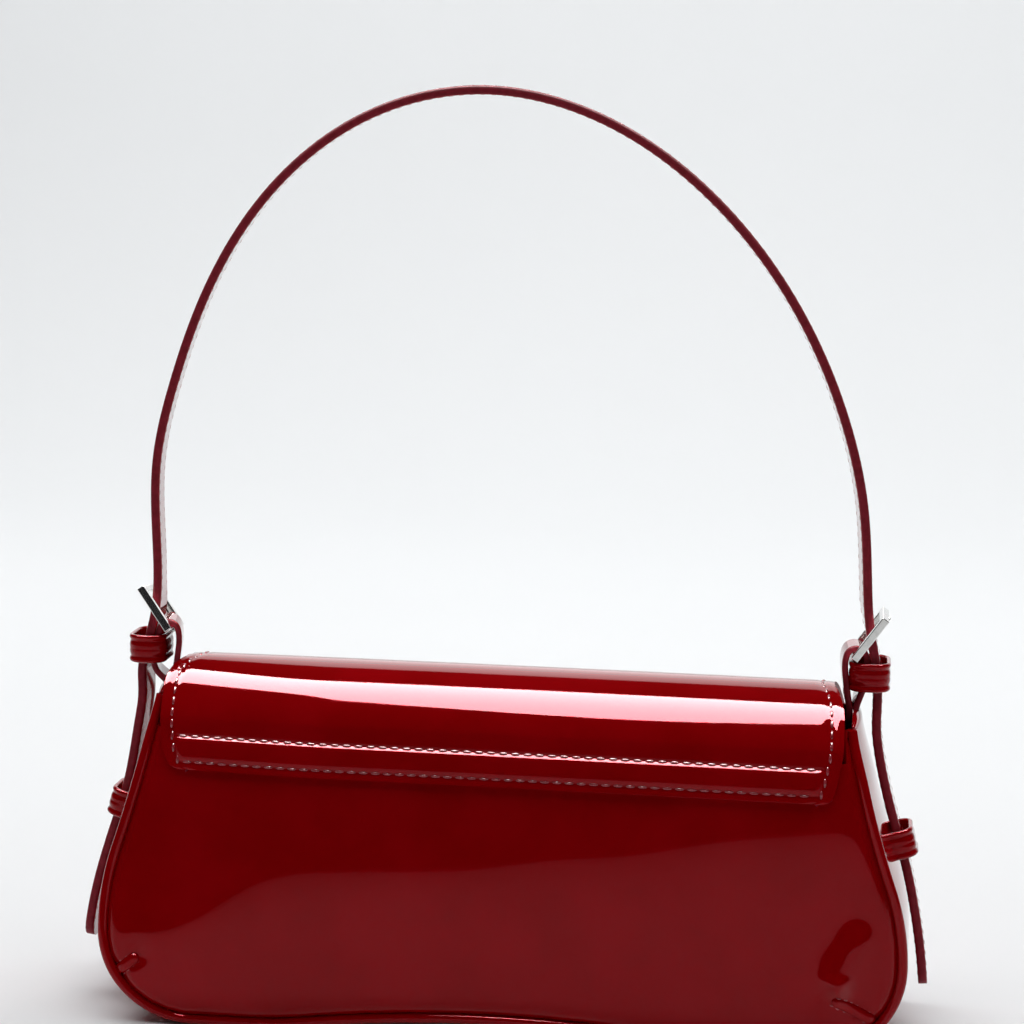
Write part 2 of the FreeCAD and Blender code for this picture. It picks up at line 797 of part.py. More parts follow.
def tab_points():
    """Points of the right tab: up its inner leg, round the loop and down its outer leg."""
    x, z, r = heel_x, size("tab_loop_height"), size("tab_loop_radius")
    root, low = size("tab_root"), size("pivot_height")
    outer = root + size("tab_leather") + 5 * size("running_gap")
    drop = z - low
    below = [low - size("tab_half_width") - 1, low - 4, low - 1]
    points = [(root, level) for level in below]
    points += [(root - 0.7, low + 0.25 * drop), (x - r + 0.2, z - 0.4 * drop)]
    for degrees in (180, 135, 90, 45, 0):
        turn = math.radians(degrees)
        points.append((x + r * math.cos(turn), z + r * math.sin(turn)))
    points += [(x + r - 0.1, z - 0.25 * drop), (x + r - 0.8, z - 0.5 * drop), (outer + 0.9, low + 0.18 * drop)]
    points += [(outer, level) for level in reversed(below)]
    return points


def tab(label, side):
    """A looped strip that holds the heel bar, with a slot for the prong and a round sewn end."""
    half = size("tab_leather") / 2
    slot_half = size("prong_eye_half") + size("side_gap")
    eye = size("prong_eye_radius")
    slot = Part.makeBox(8 * eye, 2 * slot_half, 8 * eye, Vector(heel_x - 4 * eye, -slot_half, heel_z - 2 * eye))
    loop = strip(tab_points(), -half, half, size("tab_half_width"))
    loop = loop.cut([round_end(size("pivot_height"), size("tab_half_width")), slot])
    shaped(label, loop if side > 0 else mirrored(loop))


def rod(label, radius, length, turn, **offset):
    """A round bar whose radius, length and place are expressions of the sheet."""
    thing = added("Part::Cylinder", label)
    bind(thing, Radius=radius, Height=length)
    thing.Placement = Placement(Vector(0, 0, 0), turn)
    bind_base(thing, **offset)
    return thing


def leaned(side, lean):
    """Placement at the heel bar that turns an upright piece to lean outwards."""
    return Placement(Vector(side * heel_x, 0, heel_z), Rotation(Vector(0, 1, 0), side * math.degrees(lean)))


def buckle_frame(label, side):
    """Two rails and a toe bar with rounded corners, and a round heel bar; drawn upright, then leaned."""
    inside, outside = "@frame_half_inside", "(@frame_half_inside + @rail_width)"
    top, under = "(@frame_pitch + @bar_radius)", "(@frame_pitch - @bar_radius)"
    low = "-@bar_radius"
    fork_loop = [(f"-{outside}", low), (f"-{inside}", low), (f"-{inside}", under), (inside, under)]
    fork_loop += [(inside, low), (outside, low), (outside, top), (f"-{outside}", top)]
    fork = padded_body(label + "_fork", "YZ_Plane", [fork_loop], "2 * @bar_radius")
    middle = size("frame_pitch")
    rounded(fork, "@frame_corner", lambda at, way: at.z > middle and abs(way.x) > 0.9 and abs(at.y) > 1)
    heel = rod(label + "_heel", "@bar_radius", f"2 * {outside}", facing_front(0), y=f"-{outside}")
    frame = boolean("Part::Fuse", label, fork, heel)
    frame.Placement = leaned(side, frame_lean)


def prong(label, side):
    """An eye round the heel bar and a round shank that lies on the toe bar."""
    width = "2 * @prong_eye_half"
    eye = rod(label + "_eye", "@prong_eye_radius", width, facing_front(0), y="-@prong_eye_half")
    reach = "@frame_pitch + 2 * @bar_radius - @prong_radius"
    shank = rod(label + "_shank", "@prong_radius", reach, Rotation(), z="@prong_radius")
    blank = boolean("Part::Fuse", label + "_blank", eye, shank)
    bore = rod(label + "_bore", "@bar_radius + @running_gap", f"2 * ({width})", facing_front(0), y=f"-({width})")
    whole = boolean("Part::Cut", label, blank, bore)
    whole.Placement = leaned(side, prong_lean)


def upright(at, way):
    return abs(way.z) > 0.9


def upper_keeper(label, side):
    """A closed band round the strap and the tab's outer leg."""
    low, high = ("@keeper_inner", "@keeper_outer") if side > 0 else ("-@keeper_outer", "-@keeper_inner")
    loops = []
    for wall in ("0 * @keeper_wall", "@keeper_wall"):
        left, right = f"{low} + {wall}", f"{high} - {wall}"
        reach = f"(@keeper_half_inside + @keeper_wall - {wall})"
        loops.append([(left, f"-{reach}"), (right, f"-{reach}"), (right, reach), (left, reach)])
    body = padded_body(label, "XY_Plane", loops, "@keeper_length")
    inside = size("keeper_half_inside") + size("keeper_wall") / 2
    rounded(body, "@keeper_corner", lambda at, way: upright(at, way) and abs(at.y) > inside)
    bind_base(body, z="@keeper_top - @keeper_length / 2")


def tail_at(height):
    """Place and lean of the middle of the right strap tail at one height."""
    points = [Vector(x, 0, z) for x, z in tail_points()]
    above, under = [(a, b) for a, b in zip(points, points[1:]) if a.z >= height >= b.z][0]
    share = (above.z - height) / (above.z - under.z)
    return above + (under - above) * share, math.atan2(under.x - above.x, above.z - under.z)


def lower_keeper(label, side):
    """A band over the strap tail whose two legs are sewn to the gusset."""
    at, lean = tail_at(size("low_keeper_height"))
    inside, outside = "@keeper_half_inside", "(@keeper_half_inside + @keeper_wall)"
    under, top = "(@strap_ply + @low_keeper_room)", "(@strap_ply + @low_keeper_room + @keeper_wall)"
    root = "-5 * @strap_ply"
    loop = [(root, f"-{outside}"), (top, f"-{outside}"), (top, outside), (root, outside)]
    loop += [(root, inside), (under, inside), (under, f"-{inside}"), (root, f"-{inside}")]
    arch = padded_body(label + "_arch", "XY_Plane", [loop], "@keeper_length")
    edge = size("strap_ply") + size("low_keeper_room") + size("keeper_wall") / 2
    rounded(arch, "@keeper_wall", lambda at, way: upright(at, way) and at.x > edge)
    turn = Rotation(Vector(0, 1, 0), -math.degrees(lean))
    backing = side_wall(-seam_gap, 8 * size("strap_ply"))
    if side < 0:
        turn = Rotation(Vector(0, 0, 1), 180).multiply(turn)
        backing = mirrored(backing)
    arch.Placement = Placement(Vector(side * at.x, 0, at.z), turn)
    boolean("Part::Cut", label, arch, shaped(label + "_backing", backing))


for name, side in (("left", -1), ("right", 1)):
    strap_tail(f"{name}_strap_tail", side)
    tab(f"{name}_tab", side)
    buckle_frame(f"{name}_buckle_frame", side)
    prong(f"{name}_prong", side)
    upper_keeper(f"{name}_upper_keeper", side)
    lower_keeper(f"{name}_lower_keeper", side)

NODES = ["back_panel", "front_panel", "back_piping", "front_piping", "gusset", "base_board", "lining"]
NODES += ["flap_tail", "flap_shell", "flap_lining", "snap_socket", "snap_stud"]
NODES += ["handle_strap_outer", "handle_strap_inner"]
for name in ("left", "right"):
    for piece in ("strap_tail", "tab", "buckle_frame", "prong", "upper_keeper", "lower_keeper"):
        NODES.append(f"{name}_{piece}")

doc.recompute()
for thing in doc.Objects:
    if "Invalid" in thing.State or "Error" in thing.State:
        raise RuntimeError(f"{thing.Label} did not build")

os.makedirs("parts", exist_ok=True)
for node in NODES:
    shape = doc.getObjectsByLabel(node)[0].Shape
    if shape.isNull() or not shape.isValid() or len(shape.Solids) != 1:
        raise RuntimeError(f"{node} is not one valid solid")
    shape.exportStep(f"parts/{node}.step")
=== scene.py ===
"""A patent leather baguette bag, dressed over its packed construction model."""
import logging
import math
from contextlib import contextmanager
from dataclasses import dataclass, field
from enum import Enum
from typing import Any, Callable, Iterator, Sequence

import bpy
import numpy as np
from mathutils import Matrix, Vector, kdtree


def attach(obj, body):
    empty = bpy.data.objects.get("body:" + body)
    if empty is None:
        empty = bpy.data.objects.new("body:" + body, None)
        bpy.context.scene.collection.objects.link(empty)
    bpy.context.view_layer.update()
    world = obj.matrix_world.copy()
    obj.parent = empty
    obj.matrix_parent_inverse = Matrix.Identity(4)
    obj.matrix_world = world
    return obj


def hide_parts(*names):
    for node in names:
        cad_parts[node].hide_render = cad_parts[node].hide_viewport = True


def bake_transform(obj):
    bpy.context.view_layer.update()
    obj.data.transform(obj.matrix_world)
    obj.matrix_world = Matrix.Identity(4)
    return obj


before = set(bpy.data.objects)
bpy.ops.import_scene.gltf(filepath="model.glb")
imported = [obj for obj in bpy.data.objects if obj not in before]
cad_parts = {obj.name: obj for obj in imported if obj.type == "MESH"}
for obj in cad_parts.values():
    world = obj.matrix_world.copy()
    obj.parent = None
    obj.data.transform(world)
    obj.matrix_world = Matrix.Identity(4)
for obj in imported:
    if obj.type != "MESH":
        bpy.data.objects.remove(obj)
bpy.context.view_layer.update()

LOG = logging.getLogger("baguette_bag")
MM = 0.001
Array = np.ndarray
Placing = Callable[[Array, Array], Array]


def smooth(value: Array | float, low: float, high: float) -> Array:
    """A soft step.

    Args:
        value: where to read the step.
        low: where it begins to rise from 0.
        high: where it reaches 1.

    Returns:
        The height of the step there.
    """
    share = np.clip((np.asarray(value, float) - low) / (high - low), 0.0, 1.0)
    return share * share * (3.0 - 2.0 * share)


def bump(value: Array, centre: float, width: float) -> Array:
    """A rounded hill of height 1 with the given centre and half width."""
    return np.exp(-(((np.asarray(value, float) - centre) / width) ** 2))


class Glow(Enum):
    """What a studio light is for: to be mirrored by gloss, or to light matt surfaces."""

    MIRRORED = (True, False)
    SPREAD = (False, True)

    def limit(self, obj: bpy.types.Object) -> None:
        """Keeps a light or a lit panel to its use, out of the camera's sight."""
        obj.visible_glossy, obj.visible_diffuse = self.value
        obj.visible_camera = False


class Side(Enum):
    """The two ends of the bag."""

    LEFT = -1
    RIGHT = 1

    @property
    def word(self) -> str:
        """The word that node names begin with."""
        return self.name.lower()


class Way(Enum):
    """How a row of stitches runs on a sheet."""

    ACROSS = "across"
    ALONG = "along"
    ROUND = "round"


class Line:
    """A line in a plane that is measured along its length, in millimetres."""

    def __init__(self, points: Sequence[Sequence[float]], curved: bool = True, fine: int = 24) -> None:
        """Draws the line.

        Args:
            points: pairs of coordinates that it passes through.
            curved: whether it bends smoothly between them or runs straight.
            fine: how many short steps stand for each curved stretch.
        """
        self.points = np.asarray(points, float)
        if curved:
            self.points = self._curve(self.points, fine)
        steps = np.linalg.norm(np.diff(self.points, axis=0), axis=1)
        self.marks = np.concatenate([[0.0], np.cumsum(steps)])
        self.length = float(self.marks[-1])

    @staticmethod
    def _curve(points: Array, fine: int) -> Array:
        """A cubic spline with even bending through the points.

        Args:
            points: pairs of coordinates.
            fine: steps in each stretch.

        Returns:
            Closely spaced points.
        """
        gaps = np.linalg.norm(np.diff(points, axis=0), axis=1)
        count = len(points)
        weights = np.zeros((count, count))
        wanted = np.zeros_like(points)
        rises = np.diff(points, axis=0) / gaps[:, None]
        weights[0, :2], weights[-1, -2:] = (2, 1), (1, 2)
        wanted[0], wanted[-1] = 3 * rises[0], 3 * rises[-1]
        for k in range(1, count - 1):
            weights[k, k - 1:k + 2] = (gaps[k], 2 * (gaps[k - 1] + gaps[k]), gaps[k - 1])
            wanted[k] = 3 * (gaps[k] * rises[k - 1] + gaps[k - 1] * rises[k])
        slopes = np.linalg.solve(weights, wanted)
        runs = []
        for k in range(count - 1):
            q = np.linspace(0, 1, fine, endpoint=False)[:, None]
            run = (2 * q**3 - 3 * q**2 + 1) * points[k] + (3 * q**2 - 2 * q**3) * points[k + 1]
            run += gaps[k] * ((q**3 - 2 * q**2 + q) * slopes[k] + (q**3 - q**2) * slopes[k + 1])
            runs.append(run)
        return np.concatenate(runs + [points[-1:]])

    def at(self, s: Array) -> Array:
        """Points at distances along the line."""
        s = np.asarray(s, float)
        return np.stack([np.interp(s, self.marks, self.points[:, k]) for k in (0, 1)], -1)

    def ahead(self, s: Array, reach: float = 0.5) -> Array:
        """Unit directions of travel at distances along the line.

        Args:
            s: distances.
            reach: how far on each side the line is read.

        Returns:
            Pairs of length 1.
        """
        s = np.clip(np.asarray(s, float), reach, self.length - reach)
        step = self.at(s + reach) - self.at(s - reach)
        return step / np.linalg.norm(step, axis=-1, keepdims=True)

    def left(self, s: Array) -> Array:
        """Unit directions to the left of travel."""
        way = self.ahead(s)
        return np.stack([-way[..., 1], way[..., 0]], -1)


class Bench:
    """Common modelling steps: a grid is added, formed, thickened and rounded."""

    @staticmethod
    def only(obj: bpy.types.Object) -> None:
        """Selects one object and makes it active.

        Args:
            obj: the object.
        """
        if bpy.context.object and bpy.context.object.mode != "OBJECT":
            bpy.ops.object.mode_set(mode="OBJECT")
        bpy.ops.object.select_all(action="DESELECT")
        obj.select_set(True)
        bpy.context.view_layer.objects.active = obj

    @classmethod
    @contextmanager
    def editing(cls, obj: bpy.types.Object) -> Iterator[None]:
        """Opens an object's mesh for editing, and closes it after the steps inside.

        Args:
            obj: the object.

        Returns:
            A context for the steps.
        """
        cls.only(obj)
        bpy.ops.object.mode_set(mode="EDIT")
        yield
        bpy.ops.object.mode_set(mode="OBJECT")

    @classmethod
    def pick(cls, obj: bpy.types.Object, kind: str, chosen: Array) -> None:
        """Selects some points or faces of a mesh, and nothing else.

        Args:
            obj: the object.
            kind: VERT or FACE.
            chosen: True for each one to select.
        """
        with cls.editing(obj):
            bpy.ops.mesh.select_mode(type=kind)
            bpy.ops.mesh.select_all(action="DESELECT")
        elements = obj.data.vertices if kind == "VERT" else obj.data.polygons
        elements.foreach_set("select", chosen.astype(bool))

    @staticmethod
    def grid(name: str, columns: int, rows: int) -> bpy.types.Object:
        """A flat grid from -1 to 1 both ways, to be formed.

        Args:
            name: of the object.
            columns: cells across.
            rows: cells along.

        Returns:
            The grid.
        """
        bpy.ops.object.select_all(action="DESELECT")
        bpy.ops.mesh.primitive_grid_add(x_subdivisions=columns, y_subdivisions=rows, size=2)
        obj = bpy.context.object
        obj.name = obj.data.name = name
        return obj

    @staticmethod
    def places(obj: bpy.types.Object) -> Array:
        """The corner points of a mesh, as an array.

        Args:
            obj: the object.

        Returns:
            One row for each point, in metres.
        """
        flat = np.empty(len(obj.data.vertices) * 3)
        obj.data.vertices.foreach_get("co", flat)
        return flat.reshape(-1, 3)

    @classmethod
    def form(cls, obj: bpy.types.Object, place: Placing) -> None:
        """Moves each point of a grid.

        Args:
            obj: the grid.
            place: gives points in millimetres for the grid's two coordinates.
        """
        flat = cls.places(obj)
        formed = place(flat[:, 0], flat[:, 1]) * MM
        obj.data.vertices.foreach_set("co", np.ascontiguousarray(formed).ravel())
        obj.data.update()

    @classmethod
    def mend(cls, obj: bpy.types.Object, caps: bool = False) -> None:
        """Joins points that meet, closes open ends if asked, and turns faces outwards.

        Args:
            obj: the object.
            caps: whether open ends are closed.
        """
        with cls.editing(obj):
            bpy.ops.mesh.select_all(action="SELECT")
            bpy.ops.mesh.remove_doubles(threshold=2e-6)
            if caps:
                bpy.ops.mesh.fill_holes(sides=0)
            bpy.ops.mesh.select_all(action="SELECT")
            bpy.ops.mesh.normals_make_consistent(inside=False)

    @classmethod
    def flip(cls, obj: bpy.types.Object) -> None:
        """Turns every face of an open sheet to its other side.

        Args:
            obj: the sheet.
        """
        with cls.editing(obj):
            bpy.ops.mesh.select_all(action="SELECT")
            bpy.ops.mesh.flip_normals()

    @classmethod
    def drop(cls, obj: bpy.types.Object, doomed: Array) -> None:
        """Removes the points of a mesh that are marked.

        Args:
            obj: the object.
            doomed: True for each point that goes.
        """
        cls.pick(obj, "VERT", doomed)
        with cls.editing(obj):
            bpy.ops.mesh.delete(type="VERT")

    @classmethod
    def apply(cls, obj: bpy.types.Object, kind: str, **settings: Any) -> None:
        """Adds a modifier with its settings and applies it.

        Args:
            obj: the object.
            kind: of the modifier.
            **settings: its properties.
        """
        cls.only(obj)
        modifier = obj.modifiers.new(kind.lower(), kind)
        for key, value in settings.items():
            setattr(modifier, key, value)
        bpy.ops.object.modifier_apply(modifier=modifier.name)

    @classmethod
    def thicken(cls, obj: bpy.types.Object, thickness: float, rim: int = 0, under: int = 0) -> None:
        """Gives a sheet its thickness on the inner side.

        Args:
            obj: the sheet.
            thickness: in millimetres.
            rim: how far on in the list of materials the rim's is.
            under: how far on the inner side's is.
        """
        cls.apply(
            obj, "SOLIDIFY", thickness=thickness * MM, offset=-1.0, use_even_offset=False,
            material_offset_rim=rim, material_offset=under,
        )

    @classmethod
    def round_edges(
        cls, obj: bpy.types.Object, width: float, segments: int = 3, angle: float = 50
    ) -> None:
        """Rounds the sharp edges of a mesh.

        Args:
            obj: the object.
            width: of the rounding, in millimetres.
            segments: steps in it.
            angle: from which an edge is sharp, in degrees.
        """
        cls.apply(
            obj, "BEVEL", width=width * MM, segments=segments, limit_method="ANGLE",
            angle_limit=math.radians(angle), use_clamp_overlap=True,
        )

    @classmethod
    def shade(cls, obj: bpy.types.Object, angle: float = 55) -> None:
        """Shades a mesh smooth, with sharp edges above an angle."""
        cls.only(obj)
        bpy.ops.object.shade_smooth_by_angle(angle=math.radians(angle))

    @staticmethod
    def coat(obj: bpy.types.Object, *finishes: "Finish") -> None:
        """Puts the materials of finishes into an object's slots.

        Args:
            obj: the object.
            *finishes: in the order of the slots.
        """
        obj.data.materials.clear()
        for finish in finishes:
            obj.data.materials.append(finish.material())

    @classmethod
    def joined(cls, name: str, pieces: Sequence[bpy.types.Object]) -> bpy.types.Object:
        """Joins pieces into the first one, under a new name.

        Args:
            name: of the result.
            pieces: what is joined.

        Returns:
            The one object.
        """
        cls.only(pieces[0])
        for piece in pieces:
            piece.select_set(True)
        bpy.ops.object.join()
        obj = bpy.context.object
        obj.name = obj.data.name = name
        return obj


class Field:
    """A shader socket that can be used in sums like a number."""

    def __init__(self, tree: bpy.types.NodeTree, socket: bpy.types.NodeSocket) -> None:
        """Keeps the socket and the node tree that it is in."""
        self.tree = tree
        self.socket = socket

    def _sum(self, operation: str, *terms: Any) -> "Field":
        """A Math node with its terms, which are numbers or fields.

        Args:
            operation: of the node.
            *terms: in the order of its sockets.

        Returns:
            The result.
        """
        node = self.tree.nodes.new("ShaderNodeMath")
        node.operation = operation
        for slot, term in zip(node.inputs, terms):
            if isinstance(term, Field):
                self.tree.links.new(term.socket, slot)
            else:
                slot.default_value = term
        return Field(self.tree, node.outputs[0])

    def __add__(self, other: Any) -> "Field":
        """Sum."""
        return self._sum("ADD", self, other)

    def __radd__(self, other: Any) -> "Field":
        """Sum with a number in front."""
        return self._sum("ADD", other, self)

    def __mul__(self, other: Any) -> "Field":
        """Product."""
        return self._sum("MULTIPLY", self, other)

    def __rmul__(self, other: Any) -> "Field":
        """Product with a number in front."""
        return self._sum("MULTIPLY", other, self)

    def sine(self) -> "Field":
        """Sine of an angle in radians."""
        return self._sum("SINE", self)

    def step(self, low: float, high: float) -> "Field":
        """A soft step from 0 at low to 1 at high.

        Args:
            low: where it begins.
            high: where it ends.

        Returns:
            The step.
        """
        node = self.tree.nodes.new("ShaderNodeMapRange")
        node.interpolation_type = "SMOOTHSTEP"
        self.tree.links.new(self.socket, node.inputs[0])
        node.inputs[1].default_value = low
        node.inputs[2].default_value = high
        return Field(self.tree, node.outputs[0])


class Shader:
    """A material that is put together from nodes."""

    def __init__(self, name: str) -> None:
        """Makes an empty material with one principled shader.

        Args:
            name: of the material.
        """
        self.made = bpy.data.materials.new(name)
        self.made.use_nodes = True
        self.tree = self.made.node_tree
        self.main = self.tree.nodes["Principled BSDF"]

    def node(
        self, kind: str, settings: dict[str, Any], inputs: dict[Any, Any], output: Any = 0
    ) -> Field:
        """Adds a node.

        Args:
            kind: type of the node without its prefix.
            settings: properties of the node.
            inputs: values or fields of its sockets.
            output: name or number of the socket to use.

        Returns:
            The chosen output.
        """
        node = self.tree.nodes.new("ShaderNode" + kind)
        for key, value in settings.items():
            setattr(node, key, value)
        for key, value in inputs.items():
            if isinstance(value, Field):
                self.tree.links.new(value.socket, node.inputs[key])
            else:
                node.inputs[key].default_value = value
        return Field(self.tree, node.outputs[output])

    def where(self) -> Field:
        """The place on the object, in metres."""
        return self.node("TexCoord", {}, {}, "Object")

    def noise(self, scale: float, detail: float = 2.0, stretch: Sequence[float] = (1, 1, 1)) -> Field:
        """Cloudy noise from 0 to 1.

        Args:
            scale: how many clouds there are in a metre.
            detail: how rough they are.
            stretch: factors on the three axes.

        Returns:
            The noise.
        """
        spot = self.node("Mapping", {}, {"Vector": self.where(), "Scale": tuple(stretch)})
        return self.node("TexNoise", {}, {"Vector": spot, "Scale": scale, "Detail": detail}, "Fac")

    def axis(self, name: str) -> Field:
        """One coordinate of the place on the object, in metres."""
        return self.node("SeparateXYZ", {}, {"Vector": self.where()}, name)

    def mix(self, first: Sequence[float], second: Sequence[float], share: Field) -> Field:
        """A colour between two colours."""
        settings = {"data_type": "RGBA"}
        return self.node("Mix", settings, {0: share, 6: (*first, 1), 7: (*second, 1)}, 2)

    def relief(self, height: Field, depth: float, before: Field | None = None) -> Field:
        """A bumped normal.

        Args:
            height: a field from 0 to 1.
            depth: how high 1 is, in millimetres.
            before: a normal that is bumped already.

        Returns:
            The normal.
        """
        inputs: dict[Any, Any] = {"Height": height, "Distance": depth * MM, "Strength": 1.0}
        if before is not None:
            inputs["Normal"] = before
        return self.node("Bump", {}, inputs)

    def finish(self, **sockets: Any) -> bpy.types.Material:
        """Sets the principled shader's sockets and gives the material.

        Args:
            **sockets: values or fields by socket name, with _ for spaces.

        Returns:
            The material.
        """
        for key, value in sockets.items():
            slot = self.main.inputs[key.replace("_", " ")]
            if isinstance(value, Field):
                self.tree.links.new(value.socket, slot)
            else:
                slot.default_value = value
        return self.made


@dataclass(frozen=True)
class Finish:
    """A surface that makes its material once."""

    name: str

    def material(self) -> bpy.types.Material:
        """The material, made at first use."""
        return bpy.data.materials.get(self.name) or self.make(Shader(self.name))

    def make(self, shader: Shader) -> bpy.types.Material:
        """Builds the nodes."""
        raise NotImplementedError


@dataclass(frozen=True)
class Patent(Finish):
    """Smooth leather under a thick clear lacquer."""

    deep: tuple[float, float, float] = (0.262, 0.0001, 0.0010)
    bright: tuple[float, float, float] = (0.300, 0.0003, 0.0022)
    tint: tuple[float, float, float] = (1.0, 0.07, 0.11)
    lacquer: float = 0.42
    wave: float = 0.33
    peel: float = 0.004

    def make(self, shader: Shader) -> bpy.types.Material:
        """Clouded red with a wavy lacquer that has a faint orange peel.

        Args:
            shader: the empty material.

        Returns:
            The material.
        """
        cloud = shader.noise(45.0, 3.0)
        haze = shader.noise(160.0, 4.0)
        peel = shader.noise(1500.0, 1.0)
        waves = shader.noise(21.0, 1.0, (0.55, 1.0, 1.25))
        normal = shader.relief(waves, self.wave)
        normal = shader.relief(peel, self.peel, normal)
        return shader.finish(
            Base_Color=shader.mix(self.deep, self.bright, cloud.step(0.3, 0.7)),
            Roughness=0.035 + 0.02 * haze,
            Specular_IOR_Level=0.5,
            Specular_Tint=(*self.tint, 1.0),
            Coat_Weight=self.lacquer,
            Coat_Roughness=0.012,
            Coat_IOR=1.33,
            Normal=normal,
        )


@dataclass(frozen=True)
class EdgePaint(Finish):
    """Burgundy paint on cut leather edges."""

    deep: tuple[float, float, float] = (0.205, 0.008, 0.017)
    bright: tuple[float, float, float] = (0.280, 0.014, 0.029)

    def make(self, shader: Shader) -> bpy.types.Material:
        """Satin paint over layered fibres.

        Args:
            shader: the empty material.

        Returns:
            The material.
        """
        streak = shader.noise(420.0, 3.0)
        grain = shader.noise(2600.0, 2.0)
        return shader.finish(
            Base_Color=shader.mix(self.deep, self.bright, streak.step(0.25, 0.75)),
            Roughness=0.36 + 0.2 * grain,
            Specular_IOR_Level=0.16,
            Normal=shader.relief(grain, 0.02),
        )


@dataclass(frozen=True)
class Thread(Finish):
    """Waxed sewing thread."""

    deep: tuple[float, float, float] = (0.26, 0.004, 0.010)
    bright: tuple[float, float, float] = (0.46, 0.040, 0.060)

    def make(self, shader: Shader) -> bpy.types.Material:
        """Twisted strands that catch the light.

        Args:
            shader: the empty material.

        Returns:
            The material.
        """
        twist = shader.noise(2400.0, 1.0, (1, 1, 0.4))
        return shader.finish(
            Base_Color=shader.mix(self.deep, self.bright, twist.step(0.35, 0.75)),
            Roughness=0.22 + 0.2 * twist,
            Coat_Weight=1.0,
            Normal=shader.relief(twist, 0.05),
        )


@dataclass(frozen=True)
class Steel(Finish):
    """Polished plated steel with faint wipe marks."""

    tint: tuple[float, float, float] = (0.86, 0.85, 0.83)
    worn: tuple[float, float, float] = (0.74, 0.73, 0.71)

    def make(self, shader: Shader) -> bpy.types.Material:
        """Mirror metal, a little uneven.

        Args:
            shader: the empty material.

        Returns:
            The material.
        """
        wipe = shader.noise(700.0, 4.0, (1, 0.25, 1))
        return shader.finish(
            Base_Color=shader.mix(self.worn, self.tint, wipe.step(0.3, 0.6)),
            Metallic=1.0,
            Roughness=0.07 + 0.10 * wipe,
            Normal=shader.relief(wipe, 0.004),
        )


@dataclass(frozen=True)
class Twill(Finish):
    """Woven lining cloth."""

    deep: tuple[float, float, float] = (0.050, 0.004, 0.008)
    bright: tuple[float, float, float] = (0.120, 0.012, 0.020)

    def make(self, shader: Shader) -> bpy.types.Material:
        """Diagonal ribs of a fine weave.

        Args:
            shader: the empty material.

        Returns:
            The material.
        """
        ribs = (5200.0 * (shader.axis("X") + shader.axis("Z") + 0.7 * shader.axis("Y"))).sine()
        weave = 0.5 + 0.5 * ribs * (0.7 + 0.3 * shader.noise(900.0))
        return shader.finish(
            Base_Color=shader.mix(self.deep, self.bright, weave),
            Roughness=0.72 + 0.15 * shader.noise(120.0),
            Sheen_Weight=0.25,
            Normal=shader.relief(weave, 0.06),
        )


@dataclass(frozen=True)
class Board(Finish):
    """Grey stiffening board."""

    deep: tuple[float, float, float] = (0.11, 0.10, 0.09)
    bright: tuple[float, float, float] = (0.20, 0.18, 0.16)

    def make(self, shader: Shader) -> bpy.types.Material:
        """Pressed fibres.

        Args:
            shader: the empty material.

        Returns:
            The material.
        """
        fibres = shader.noise(900.0, 6.0, (0.3, 1, 1))
        return shader.finish(
            Base_Color=shader.mix(self.deep, self.bright, fibres),
            Roughness=0.8 + 0.1 * fibres,
            Normal=shader.relief(fibres, 0.08),
        )


@dataclass(frozen=True)
class Paper(Finish):
    """Pale studio paper."""

    shade: tuple[float, float, float] = (0.80, 0.815, 0.825)

    def make(self, shader: Shader) -> bpy.types.Material:
        """Matt, very slightly clouded.

        Args:
            shader: the empty material.

        Returns:
            The material.
        """
        cloud = shader.noise(3.0, 3.0)
        darker = tuple(0.97 * c for c in self.shade)
        return shader.finish(
            Base_Color=shader.mix(darker, self.shade, cloud),
            Roughness=0.85,
            Specular_IOR_Level=0.1,
        )


@dataclass(frozen=True)
class Lamp(Finish):
    """Lit cloth of a studio panel."""

    strength: float = 1.0
    deep: tuple[float, float, float] = (0.97, 0.94, 0.95)
    bright: tuple[float, float, float] = (1.0, 0.98, 0.99)

    def make(self, shader: Shader) -> bpy.types.Material:
        """Nearly even light.

        Args:
            shader: the empty material.

        Returns:
            The material.
        """
        cloud = shader.noise(2.0, 1.0)
        return shader.finish(
            Base_Color=(0, 0, 0, 1),
            Specular_IOR_Level=0.0,
            Emission_Color=shader.mix(self.deep, self.bright, cloud),
            Emission_Strength=self.strength,
        )


PATENT = Patent("patent_leather_red")
EDGE = EdgePaint("edge_paint")
THREAD = Thread("sewing_thread")
STEEL = Steel("polished_steel_plate")
TWILL = Twill("lining_twill")
BOARD = Board("stiffening_board")
PAPER = Paper("studio_paper")
TOP_LAMP = Lamp("overhead_cloth", 38.0)
BACK_LAMP = Lamp("back_cloth", 1.45)


